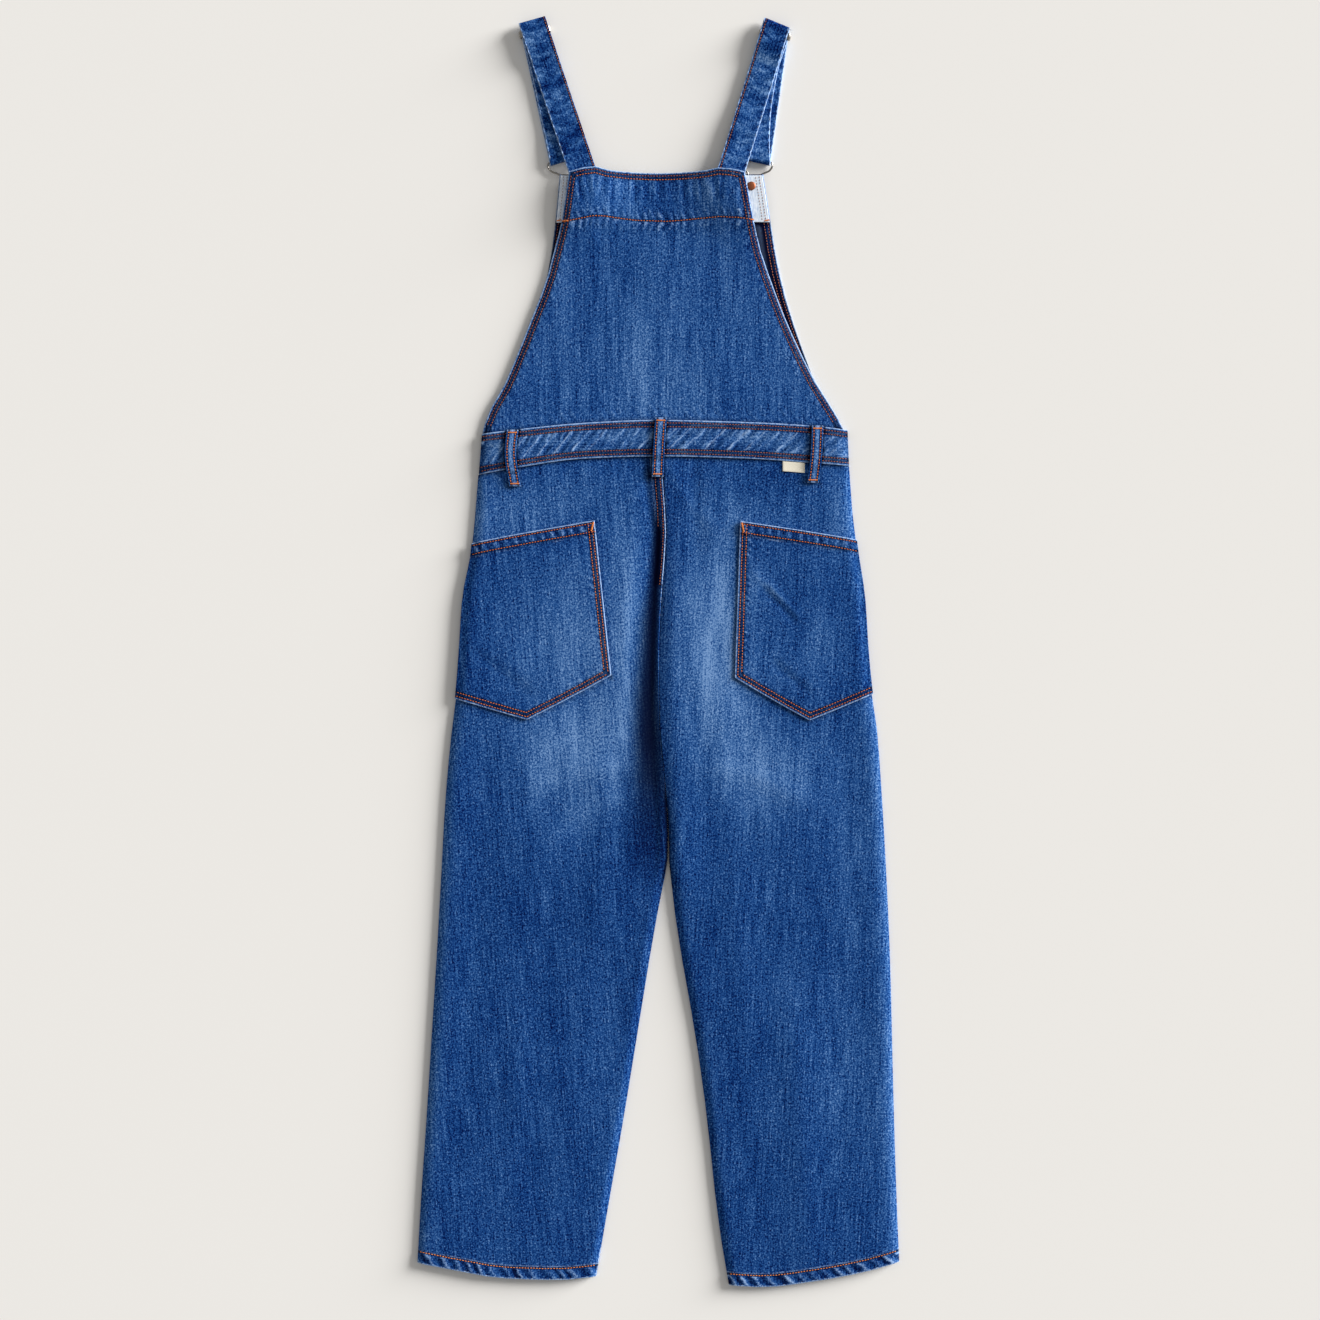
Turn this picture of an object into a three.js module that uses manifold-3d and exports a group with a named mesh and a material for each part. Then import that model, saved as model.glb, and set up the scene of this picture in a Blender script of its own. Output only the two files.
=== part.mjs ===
// Denim dungarees, laid flat on their front with the back facing up.
// Millimetres. X runs to the wearer's right hip, Y from the hems to the straps, Z up from the surface.
// The origin is the middle of the garment's footprint, on the surface it lies on.
import * as THREE from "three";
import { mergeVertices } from "three/addons/utils/BufferGeometryUtils.js";
import Module from "manifold-3d";

const wasm = await Module();
wasm.setup();

// Driving sizes
const DENIM = 1.7; // wall of one layer of denim
const SEAM_GAP = 0.3; // left between neighbouring pieces
const LOFT = 5.3; // underside of the back layer above the surface, where it lies at rest
const EDGE_ROLL = 9; // how far in from a side seam the back layer reaches that height
const HEM_DEPTH = 13;
const HEM_RAISE = 0.8; // a turned-up hem stands this much proud
const BAND_PRESS = 0.9; // how far the waistband presses the panels' edges down
const WAISTBAND = { thick: 2.3, tuck: 8, free: 13 };
const BIB = { wall: 1.6, facing: 1.2, gap: 2.6, roll: 12 };
const POCKET = { wall: 1.6, hem: 13, hemRaise: 0.6, gap: 0.5 };
const STRAP = { width: 30, thick: 2.2, tuck: 7 };
const BELT_LOOP = { width: 12.6, thick: 2, lift: 1.1, endLift: 0.3 };
const WIRE = 2.4; // diameter of the hooks' wire
const BUTTON = { head: 8.5, headHigh: 3.1, neck: 3, neckTop: 6.1, post: 1.5, cap: 5 };
const SLIDE = { width: 35, bar: 1.4, side: 1.8, long: 7, fromFold: 12.5 };

// Outer edges of the legs and hips, down the two side seams
const sideSeams = [
  { y: 222, left: -195.5, right: 209 },
  { y: 187, left: -198, right: 211 },
  { y: 143, left: -201.5, right: 214.5 },
  { y: 110, left: -204, right: 218.5 },
  { y: 55, left: -214, right: 226.5 },
  { y: 0, left: -217.5, right: 230 },
  { y: -50, left: -221.5, right: 235 },
  { y: -77, left: -225.5, right: 239.8 },
  { y: -165, left: -233.8, right: 246.4 },
  { y: -253, left: -238.7, right: 251.4 },
  { y: -341, left: -243.7, right: 255.2 },
  { y: -429, left: -249.2, right: 257.4 },
  { y: -517, left: -254.7, right: 259.6 },
  { y: -605, left: -260.7, right: 262.4 },
  { y: -690, left: -265.5, right: 266 },
];

// Centre back seam down to the crotch, then the inner edge of each leg
const innerEdges = [
  { y: 222, left: 2.5, right: 2.5 },
  { y: 176, left: 6, right: 6 },
  { y: 132, left: 8.8, right: 8.8 },
  { y: 93, left: 6.6, right: 6.6 },
  { y: 47, left: 2.8, right: 2.8 },
  { y: 0, left: 1.2, right: 1.2 },
  { y: -79, left: 1.7, right: 1.7 },
  { y: -132, left: 6.4, right: 6.4 },
  { y: -179, left: 10.2, right: 10.2 },
  { y: -209, left: 11.5, right: 11.5 },
  { y: -232, left: 10.8, right: 11.6 },
  { y: -253, left: 6, right: 14.9 },
  { y: -297, left: -1.7, right: 19.3 },
  { y: -341, left: -9.4, right: 26.4 },
  { y: -429, left: -23.6, right: 41.8 },
  { y: -517, left: -38, right: 53.9 },
  { y: -605, left: -53.4, right: 63.3 },
  { y: -649, left: -61, right: 69.3 },
  { y: -700, left: -69.5, right: 78 },
];
const CROTCH_Y = -105;

// Upper and lower edge of the waistband, from side seam to side seam
const waistEdges = [
  { x: -197, top: 237, bottom: 192.5 },
  { x: -155, top: 242, bottom: 200 },
  { x: -81, top: 249.3, bottom: 210 },
  { x: -3, top: 252.5, bottom: 212.4 },
  { x: 93, top: 250.3, bottom: 210.2 },
  { x: 170, top: 246.1, bottom: 205.2 },
  { x: 211, top: 241.2, bottom: 202 },
];

// Lowest edge of each leg, from the side seam inwards
const hems = {
  left: [
    { u: 0, y: -673 },
    { u: 0.2, y: -680.5 },
    { u: 0.5, y: -690 },
    { u: 0.8, y: -691.5 },
    { u: 1, y: -688 },
  ],
  right: [
    { u: 0, y: -672 },
    { u: 0.2, y: -682.5 },
    { u: 0.5, y: -693 },
    { u: 0.8, y: -699.5 },
    { u: 1, y: -697.5 },
  ],
};

// Sides of the two bibs
const backBibSides = [
  { y: 530, left: -96.8, right: 94.2 },
  { y: 504, left: -100.7, right: 99 },
  { y: 471, left: -105.6, right: 105.1 },
  { y: 440, left: -113.5, right: 112 },
  { y: 406, left: -122.5, right: 123.5 },
  { y: 367, left: -137.5, right: 138.2 },
  { y: 332, left: -151.4, right: 153.8 },
  { y: 290, left: -169.1, right: 175 },
  { y: 255, left: -188.5, right: 197.5 },
  { y: 230, left: -195, right: 209.5 },
];
const frontBibSides = [
  { y: 522, left: -107.8, right: 115.5 },
  { y: 469, left: -112.8, right: 123.8 },
  { y: 429, left: -118.3, right: 130.4 },
  { y: 385, left: -128.8, right: 140.8 },
  { y: 341, left: -147.2, right: 155.1 },
  { y: 297, left: -165.5, right: 171.5 },
  { y: 253, left: -188, right: 197 },
  { y: 230, left: -194.5, right: 208.5 },
];
const backBibTop = [
  { u: 0, y: 524.3 },
  { u: 0.14, y: 530 },
  { u: 0.24, y: 525.6 },
  { u: 0.5, y: 523.2 },
  { u: 0.76, y: 525.4 },
  { u: 0.86, y: 528.6 },
  { u: 1, y: 524.3 },
];
const FRONT_BIB_TOP = 522;
const FACING_BOTTOM = 470;

// Corners of the patch pockets; their outer side follows the side seam
const pocketCorners = {
  left: {
    outerTop: 117,
    innerTop: [-69.7, 142.2],
    innerBottom: [-51.3, -27.8],
    tip: [-143.9, -76.7],
    outerBottom: -53.4,
  },
  right: {
    outerTop: 120.9,
    innerTop: [90.1, 141.5],
    innerBottom: [84.2, -30.4],
    tip: [166.3, -77.4],
    outerBottom: -48.4,
  },
};
const POCKET_PROUD = 1.4; // the pocket wraps the side seam by this much

// Soft folds of the back layer: ridges with a plus height, troughs with a minus
const folds = [
  { name: "seat trough", from: [-7, 120], to: [-5, -235], width: 13, height: -1.9 },
  { name: "right thigh roll", from: [24, 60], to: [26, -250], width: 15, height: 1.5 },
  { name: "left thigh roll", from: [-40, 40], to: [-52, -300], width: 24, height: 1.2 },
  { name: "right inner thigh", from: [66, -60], to: [92, -420], width: 22, height: 0.8 },
  { name: "left inner thigh", from: [-70, -260], to: [-120, -520], width: 20, height: 0.8 },
  { name: "left outer leg", from: [-190, -150], to: [-212, -560], width: 22, height: -0.8 },
  { name: "right outer leg", from: [206, -130], to: [214, -520], width: 24, height: -0.7 },
  { name: "left shin", from: [-120, -430], to: [-160, -660], width: 20, height: -0.6 },
  { name: "right shin", from: [150, -380], to: [162, -650], width: 22, height: 0.7 },
];

// foldLean: how far the fold over the shoulder is turned from square to the strap, in degrees
const straps = {
  left: {
    top: [-138.7, 692],
    bib: [-83.6, 527.2],
    hookBar: [-104.8, 539.6],
    button: [-95.4, 509.3],
    foldLean: 0,
  },
  right: {
    top: [130.9, 689],
    bib: [81, 527.8],
    hookBar: [108.9, 538.9],
    button: [102.3, 509],
    foldLean: -10,
  },
};
// How far the strap's return layer drifts sideways from the layer under it, by its distance from the hook
const returnDrift = {
  left: [
    { s: 0, shift: 0 },
    { s: 12, shift: -1.1 },
    { s: 110, shift: -1.6 },
    { s: 134, shift: 0 },
  ],
  right: [
    { s: 0, shift: 0 },
    { s: 25, shift: 4.6 },
    { s: 62, shift: 7.4 },
    { s: 100, shift: 6 },
    { s: 132, shift: 0 },
  ],
};

// Heights of the strap's middle line. Back run: by distance from its sewn end. Front run: by distance from
// the fold. Return layer: by distance from the hook's bar.
const backRunHeights = [
  { s: 0, z: 11.1 },
  { s: 11, z: 11.1 },
  { s: 22, z: 10.6 },
  { s: 34, z: 9.4 },
  { s: 52, z: 9.1 },
  { s: 92, z: 6.5 },
  { s: 128, z: 6.5 },
  { s: 148, z: 9.8 },
  { s: 180, z: 9.8 },
];
const frontRunHeights = [
  { s: 0, z: 2.8 },
  { s: 19, z: 2.8 },
  { s: 42, z: 1.1 },
  { s: 160, z: 1.1 },
];
const returnHeights = [
  { s: 0, z: 6.3 },
  { s: 10, z: 6.1 },
  { s: 42, z: 3.8 },
  { s: 100, z: 3.8 },
  { s: 128, z: 5.4 },
  { s: 160, z: 5.4 },
];

// A smooth curve through a table's rows that never swings past them: row[at] is the place, row[key] the value
function through(rows, at, key) {
  const sorted = [...rows].sort((p, q) => p[at] - q[at]);
  const last = sorted.length - 1;
  const rise = (i) => (sorted[i + 1][key] - sorted[i][key]) / (sorted[i + 1][at] - sorted[i][at]);
  const slope = (i) => {
    if (i === 0) return rise(0);
    if (i === last) return rise(last - 1);
    const before = rise(i - 1);
    const after = rise(i);
    return before * after <= 0 ? 0 : (2 * before * after) / (before + after);
  };
  return (t) => {
    const place = THREE.MathUtils.clamp(t, sorted[0][at], sorted[last][at]);
    let i = 0;
    while (i < last - 1 && place > sorted[i + 1][at]) i += 1;
    const a = sorted[i];
    const b = sorted[i + 1];
    const span = b[at] - a[at];
    const k = (place - a[at]) / span;
    const bend = k * k * (3 - 2 * k);
    const straight = a[key] + (b[key] - a[key]) * bend;
    return straight + span * (k * (1 - k) ** 2 * slope(i) - k * k * (1 - k) * slope(i + 1));
  };
}

const lerp = THREE.MathUtils.lerp;
const ease = (t) => THREE.MathUtils.smoothstep(t, 0, 1);
const rollIn = (distance, width) => Math.sin((Math.PI / 2) * THREE.MathUtils.clamp(distance / width, 0, 1));
// 1 within flat of a point, then falling away softly over fade
const mound = (x, y, centre, flat, fade) =>
  Math.exp(-((Math.max(0, Math.hypot(x - centre[0], y - centre[1]) - flat) / fade) ** 2));
// Evenly spaced shares from 0 to 1, with closer ones by both ends where an edge rolls over
const even = (count) => Array.from({ length: count + 1 }, (_, i) => i / count);
const rolled = (count) => [0, 0.012, 0.03, ...even(count).map((t) => lerp(0.055, 0.945, t)), 0.97, 0.988, 1];

const waistLevel = waistEdges[3].bottom;
const side = { left: through(sideSeams, "y", "left"), right: through(sideSeams, "y", "right") };
const inner = { left: through(innerEdges, "y", "left"), right: through(innerEdges, "y", "right") };
const hemLine = { left: through(hems.left, "u", "y"), right: through(hems.right, "u", "y") };
const waistTop = through(waistEdges, "x", "top");
const waistBottom = through(waistEdges, "x", "bottom");
// How far a panel reaches in under the waistband: by the side seams it only meets it edge to edge
const tuckAt = (x) => {
  const fromEnd = Math.min(x - waistEdges[0].x, waistEdges.at(-1).x - x);
  return lerp(-SEAM_GAP, WAISTBAND.tuck, ease((fromEnd - WAISTBAND.free) / 6));
};

// A closed wall over a grid: place(u, v) gives x and y, top and under the heights of its two faces
function wall({ columns, rows, place, top, under }) {
  const wide = columns.length;
  const count = wide * rows.length;
  const points = [];
  for (const face of [top, under])
    for (const v of rows)
      for (const u of columns) {
        const [x, y] = place(u, v);
        points.push(x, y, face(x, y, u, v));
      }
  const [x0, y0] = place(0.4, 0.4);
  const [x1, y1] = place(0.6, 0.4);
  const [x2, y2] = place(0.4, 0.6);
  const turned = (x1 - x0) * (y2 - y0) - (y1 - y0) * (x2 - x0) < 0;
  const index = [];
  const quad = (a, b, c, d) => (turned ? index.push(a, c, b, a, d, c) : index.push(a, b, c, a, c, d));
  for (let j = 0; j < rows.length - 1; j += 1)
    for (let i = 0; i < wide - 1; i += 1) {
      const a = j * wide + i;
      quad(a, a + 1, a + wide + 1, a + wide);
      quad(a + count, a + count + wide, a + count + wide + 1, a + count + 1);
    }
  const rim = [];
  for (let i = 0; i < wide; i += 1) rim.push(i);
  for (let j = 1; j < rows.length; j += 1) rim.push(j * wide + wide - 1);
  for (let i = wide - 2; i >= 0; i -= 1) rim.push((rows.length - 1) * wide + i);
  for (let j = rows.length - 2; j > 0; j -= 1) rim.push(j * wide);
  rim.forEach((a, i) => {
    const b = rim[(i + 1) % rim.length];
    quad(a, a + count, b + count, b);
  });
  const geometry = new THREE.BufferGeometry();
  geometry.setAttribute("position", new THREE.Float32BufferAttribute(points, 3));
  geometry.setIndex(index);
  return geometry;
}

// Front layer of a leg: it lies flat on the surface
const frontLegTop = () => DENIM;

// Outer face of the back layer of a leg
function backLegTop(which, x, y) {
  const fromSide = Math.abs(x - side[which](y));
  const fromInner = Math.abs(x - inner[which](y));
  const low = DENIM + SEAM_GAP;
  let z = lerp(low, LOFT, rollIn(fromSide, EDGE_ROLL));
  const parted = ease((CROTCH_Y - y) / 120);
  z = lerp(z, lerp(low, z, rollIn(fromInner, EDGE_ROLL)), parted);
  for (const fold of folds) z += fold.height * foldWeight(fold, x, y) * rollIn(fromSide, EDGE_ROLL * 3);
  z = Math.max(z, low);
  return lerp(z, Math.min(z, LOFT - BAND_PRESS), underBand(x, y)) + DENIM;
}

// 1 where a leg's upper edge is pressed flat by the waistband, falling to 0 just below it
const underBand = (x, y) => 1 - ease((waistBottom(x) - y - 2) / 16);

// 1 on the fold's line and falling away across it and past its ends
function foldWeight(fold, x, y) {
  const [x0, y0] = fold.from;
  const [x1, y1] = fold.to;
  const length = Math.hypot(x1 - x0, y1 - y0);
  const along = ((x - x0) * (x1 - x0) + (y - y0) * (y1 - y0)) / length;
  const across = ((x - x0) * (y1 - y0) - (y - y0) * (x1 - x0)) / length;
  const past = Math.max(0, -along, along - length);
  return Math.exp(-((across / fold.width) ** 2) - (past / (2 * fold.width)) ** 2);
}

function hemRaise(which, x, y, u) {
  return HEM_RAISE * ease((hemLine[which](u) + HEM_DEPTH + 1 - y) / 2);
}

const CENTRE_SEAM = { width: 7, raise: 0.9 }; // the felled centre back seam, on the left panel
function centreSeamRaise(which, x, y) {
  if (which === "right") return 0;
  const near = ease((CENTRE_SEAM.width + 1 - Math.abs(x - inner.left(y))) / 1.5);
  return CENTRE_SEAM.raise * near * ease((y - CROTCH_Y) / 60) * (1 - underBand(x, y));
}

// Places on a panel: u runs between its two side lines, v from its upper to its lower edge
function panelPlace(from, to, upper, lower) {
  return (u, v) => {
    let x = lerp(from(waistLevel), to(waistLevel), u);
    let y = waistLevel;
    for (let pass = 0; pass < 4; pass += 1) {
      y = lerp(upper(x, u), lower(x, u), v);
      x = lerp(from(y), to(y), u);
    }
    return [x, y];
  };
}

// u runs from the side seam inwards, v from the waist to the hem
function legPlace(which, upper) {
  const inwards = which === "left" ? -1 : 1;
  const edge = (y) => inner[which](y) + (inwards * SEAM_GAP * 2) / 3;
  return panelPlace(side[which], edge, upper, (x, u) => hemLine[which](u));
}

function backLeg(which) {
  const hemRows = [0.97, 0.983, 0.986, 1];
  return wall({
    columns: [...rolled(8).slice(0, -3), 0.965, 0.972, 0.985, 1],
    rows: [0, 0.0112, 0.022, ...even(28).map((t) => lerp(0.036, 0.955, t)), ...hemRows],
    place: legPlace(which, (x) => waistBottom(x) + tuckAt(x)),
    top: (x, y, u) => backLegTop(which, x, y) + hemRaise(which, x, y, u) + centreSeamRaise(which, x, y),
    under: (x, y) => backLegTop(which, x, y) - DENIM,
  });
}

function frontLeg(which) {
  return wall({
    columns: even(4),
    rows: even(18),
    place: legPlace(which, (x) => waistBottom(x) - SEAM_GAP),
    top: frontLegTop,
    under: () => 0,
  });
}

// The waistband's back half lies over the edges of the bib and the legs
const bandUnder = (x) => {
  const ends = Math.min(x - waistEdges[0].x, waistEdges.at(-1).x - x);
  return lerp(WAISTBAND.thick + SEAM_GAP, LOFT - BAND_PRESS + DENIM + SEAM_GAP, rollIn(ends, EDGE_ROLL + 4));
};

function bandPlace(u, v) {
  const left = lerp(-193.5, -197, v);
  const right = lerp(208.3, 210, v);
  const x = lerp(left, right, u);
  return [x, lerp(waistTop(x), waistBottom(x), v)];
}

const BAND_EDGE = { depth: 0.14, drop: 0.5 }; // the band thins towards its two long edges
const bandTop = (x, y, u, v) =>
  bandUnder(x) + WAISTBAND.thick - BAND_EDGE.drop * (1 - rollIn(Math.min(v, 1 - v), BAND_EDGE.depth));

function waistbandBack() {
  const rows = [0, 0.07, 0.2, 0.5, 0.8, 0.93, 1];
  return wall({ columns: rolled(20), rows, place: bandPlace, top: bandTop, under: bandUnder });
}

function waistbandFront() {
  return wall({ columns: even(16), rows: even(1), place: bandPlace, top: () => WAISTBAND.thick, under: () => 0 });
}

// The front bib is held off the surface by the buttons under its top corners
const BUTTON_LIFT = { high: 6.5, flat: 22, fade: 35 };
const frontBibUnder = (x, y) =>
  BUTTON_LIFT.high *
  Math.max(...Object.values(straps).map((s) => mound(x, y, s.button, BUTTON_LIFT.flat, BUTTON_LIFT.fade)));

const frontSide = { left: through(frontBibSides, "y", "left"), right: through(frontBibSides, "y", "right") };
const backSide = { left: through(backBibSides, "y", "left"), right: through(backBibSides, "y", "right") };

const frontBibPlace = panelPlace(
  frontSide.left,
  frontSide.right,
  () => FRONT_BIB_TOP,
  (x) => waistTop(x) + SEAM_GAP,
);
const facingShare = (FRONT_BIB_TOP - FACING_BOTTOM) / (FRONT_BIB_TOP - waistTop(0));
const facingRows = even(4).map((t) => t * facingShare);
const bibColumns = even(14);

function frontBib() {
  const geometry = wall({
    columns: bibColumns,
    rows: [...facingRows, ...even(8).slice(1).map((t) => lerp(facingShare, 1, t))],
    place: frontBibPlace,
    top: (x, y) => frontBibUnder(x, y) + BIB.wall,
    under: frontBibUnder,
  });
  return drilled(geometry);
}

// The facing at the top of the front bib's inside follows the bib's own points, just in from its edges
const FACING_INSET = 0.005;
const facingUnder = (x, y) => frontBibUnder(x, y) + BIB.wall + SEAM_GAP;
function frontBibFacing() {
  const geometry = wall({
    columns: bibColumns,
    rows: facingRows,
    place: (u, v) => frontBibPlace(lerp(FACING_INSET, 1 - FACING_INSET, u), Math.max(v, FACING_INSET)),
    top: (x, y) => facingUnder(x, y) + BIB.facing,
    under: facingUnder,
  });
  return drilled(geometry);
}

// Underside of the back bib: over the front bib, the facing and the sewn ends of the straps
function backBibUnder(x, y) {
  const facing = (BIB.facing + SEAM_GAP) * ease((y - FACING_BOTTOM + 12) / 8);
  const stack = frontBibUnder(x, y) + BIB.wall + facing;
  const fromEdge = Math.min(x - backSide.left(y), backSide.right(y) - x);
  const sewn = Math.max(...Object.values(straps).map((s) => mound(x, y, [s.bib[0], s.bib[1] - 7], 18, 24)));
  const capped = Math.max(...Object.values(straps).map((s) => mound(x, y, s.button, 8, 14)));
  const z = stack + SEAM_GAP + 0.1 + BIB.gap * rollIn(fromEdge, BIB.roll) * (1 - 0.6 * sewn);
  const cleared = z + Math.max(3.1 * sewn, 1.1 * capped);
  const pressed = 1 - ease((y - waistTop(x) - 2) / 14);
  return lerp(cleared, Math.min(cleared, LOFT - BAND_PRESS), pressed);
}

const BIB_HEM = { width: 7.5, raise: 0.5 }; // turned edges, twice stitched
function bibHemRaise(x, y, u, v) {
  const fromEdge = Math.min(x - backSide.left(y), backSide.right(y) - x, v * 275);
  return BIB_HEM.raise * ease((BIB_HEM.width + 1 - fromEdge) / 2);
}

function backBib() {
  const topEdge = through(backBibTop, "u", "y");
  const place = panelPlace(backSide.left, backSide.right, (x, u) => topEdge(u), (x) => waistTop(x) - tuckAt(x));
  return wall({
    columns: [0, 0.012, 0.03, 0.05, ...even(12).map((t) => lerp(0.08, 0.92, t)), 0.95, 0.97, 0.988, 1],
    rows: [0, 0.012, 0.026, 0.038, 0.07, 0.11, 0.15, 0.19, 0.24, ...even(8).map((t) => lerp(0.31, 0.965, t)), 1],
    place,
    top: (x, y, u, v) => backBibUnder(x, y) + BIB.wall + bibHemRaise(x, y, u, v),
    under: backBibUnder,
  });
}

// A patch pocket, laid on the leg under it
function pocket(which) {
  const corner = pocketCorners[which];
  const outwards = which === "left" ? -1 : 1;
  const outer = (y) => side[which](y) + outwards * POCKET_PROUD;
  const innerAt = (y) => {
    const [x0, y0] = corner.innerTop;
    const [x1, y1] = corner.innerBottom;
    return lerp(x0, x1, (y0 - y) / (y0 - y1));
  };
  const tipU = (corner.tip[0] - outer(corner.tip[1])) / (innerAt(corner.tip[1]) - outer(corner.tip[1]));
  const bottom = (u) =>
    u < tipU
      ? lerp(corner.outerBottom, corner.tip[1], u / tipU)
      : lerp(corner.tip[1], corner.innerBottom[1], (u - tipU) / (1 - tipU));
  const place = (u, v) => {
    const y = lerp(lerp(corner.outerTop, corner.innerTop[1], u ** 0.9), bottom(u), v);
    return [lerp(outer(y), innerAt(y), u), y];
  };
  const under = (x, y) => backLegTop(which, x, y) + POCKET.gap;
  const hemShare = POCKET.hem / (corner.outerTop - corner.outerBottom);
  const proud = (v) => POCKET.hemRaise * ease((hemShare + 0.012 - v) / 0.012);
  const innerHalf = even(3).map((t) => lerp(0.2, tipU, t));
  const outerHalf = even(3).slice(1).map((t) => lerp(tipU, 1, t));
  return wall({
    columns: [0, 0.02, 0.05, 0.09, ...innerHalf, ...outerHalf],
    rows: [0, hemShare - 0.005, hemShare + 0.012, ...even(7).map((t) => lerp(0.16, 1, t))],
    place,
    top: (x, y, u, v) => under(x, y) + POCKET.wall + proud(v),
    under,
  });
}

// Belt loops stand off the waistband so that a belt can pass; x by height gives their slight bends
const beltLoops = {
  left: { top: 241.5, bottom: 179.5, bend: [{ t: 0, x: -159.5 }, { t: 0.4, x: -162 }, { t: 1, x: -157 }] },
  centre: { top: 254.8, bottom: 190, bend: [{ t: 0, x: 3.2 }, { t: 0.5, x: 1 }, { t: 1, x: -0.5 }] },
  right: { top: 246, bottom: 183.5, bend: [{ t: 0, x: 175 }, { t: 0.5, x: 173.6 }, { t: 1, x: 170 }] },
};

// The highest cloth under a point of the waist
function waistGround(x, y) {
  const inBand = y < waistTop(x) + 1.5 && y > waistBottom(x) - 1.5;
  if (inBand) return bandUnder(x) + WAISTBAND.thick;
  if (y >= waistTop(x)) return backBibUnder(x, y) + BIB.wall + BIB_HEM.raise;
  const which = x < inner.left(y) ? "left" : "right";
  return backLegTop(which, x, y) + centreSeamRaise("left", Math.min(x, inner.left(y)), y);
}

function beltLoop(name) {
  const { top, bottom, bend } = beltLoops[name];
  const middle = through(bend, "t", "x");
  const place = (u, v) => [middle(v) + (u - 0.5) * BELT_LOOP.width, lerp(top, bottom, v)];
  const rows = even(14);
  // Each row clears the cloth under it and its neighbours by the same amount all the way across
  const ground = rows.map((v) =>
    Math.max(...[-0.03, 0, 0.03].flatMap((dv) => [0, 0.5, 1].map((u) => waistGround(...place(u, v + dv))))),
  );
  const level = (v) => {
    const spread = Math.min(v, 1 - v) * 4;
    return ground[Math.round(v * 14)] + BELT_LOOP.endLift + BELT_LOOP.lift * rollIn(spread, 1);
  };
  return wall({
    columns: even(1),
    rows,
    place,
    top: (x, y, u, v) => level(v) + BELT_LOOP.thick,
    under: (x, y, u, v) => level(v),
  });
}

// A plain woven tab, caught in the waistband's lower seam
const LABEL = { left: 136.8, right: 161, long: 11, thick: 1 };
function labelTab() {
  const place = (u, v) => {
    const x = lerp(LABEL.left, LABEL.right, u);
    return [x, waistBottom(x) - SEAM_GAP * 1.5 - v * LABEL.long];
  };
  const under = (x, y) => backLegTop("right", x, y) + 2 * SEAM_GAP;
  return wall({ columns: even(4), rows: even(3), place, top: (x, y) => under(x, y) + LABEL.thick, under });
}

// A flat strip with a rectangular section at each station: middle point, and a level vector across it
function ribbon(stations, width, thick) {
  const points = [];
  stations.forEach(({ at, across }, i) => {
    const before = stations[Math.max(i - 1, 0)].at;
    const after = stations[Math.min(i + 1, stations.length - 1)].at;
    const along = after.clone().sub(before).normalize();
    const out = along.clone().cross(across).normalize();
    for (const [a, b] of [[-1, -1], [1, -1], [1, 1], [-1, 1]])
      points.push(
        ...at.clone().addScaledVector(across, (a * width) / 2).addScaledVector(out, (b * thick) / 2).toArray(),
      );
  });
  const index = [];
  const last = stations.length - 1;
  for (let i = 0; i < last; i += 1)
    for (let k = 0; k < 4; k += 1) {
      const a = i * 4 + k;
      const b = i * 4 + ((k + 1) % 4);
      index.push(a, b, b + 4, a, b + 4, a + 4);
    }
  index.push(0, 2, 1, 0, 3, 2, last * 4, last * 4 + 1, last * 4 + 2, last * 4, last * 4 + 2, last * 4 + 3);
  const geometry = new THREE.BufferGeometry();
  geometry.setAttribute("position", new THREE.Float32BufferAttribute(points, 3));
  geometry.setIndex(index);
  return geometry;
}

const flat = ([x, y], z = 0) => new THREE.Vector3(x, y, z);
const acrossOf = (direction) => new THREE.Vector3(-direction.y, direction.x, 0).normalize();
const FOLD_RADIUS = 3.4;
const BAR_RADIUS = WIRE / 2 + SEAM_GAP + STRAP.thick / 2; // of the strap's middle line round the hook's bar
const BAR_HEIGHT = STRAP.thick / 2 + BAR_RADIUS;

// Directions and key points that the strap, its slide and its hook share
function strapLayout(which) {
  const s = straps[which];
  const backDown = flat(s.bib).sub(flat(s.top)).normalize();
  const reach = FOLD_RADIUS + STRAP.thick / 2;
  const foldCentre = flat(s.top).addScaledVector(backDown, reach);
  const bar = flat(s.hookBar);
  const frontDown = bar.clone().sub(foldCentre).normalize();
  const hookDown = flat(s.button).sub(bar).normalize();
  return { backDown, foldCentre, bar, frontDown, hookDown, frontLength: bar.distanceTo(foldCentre) };
}

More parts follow.
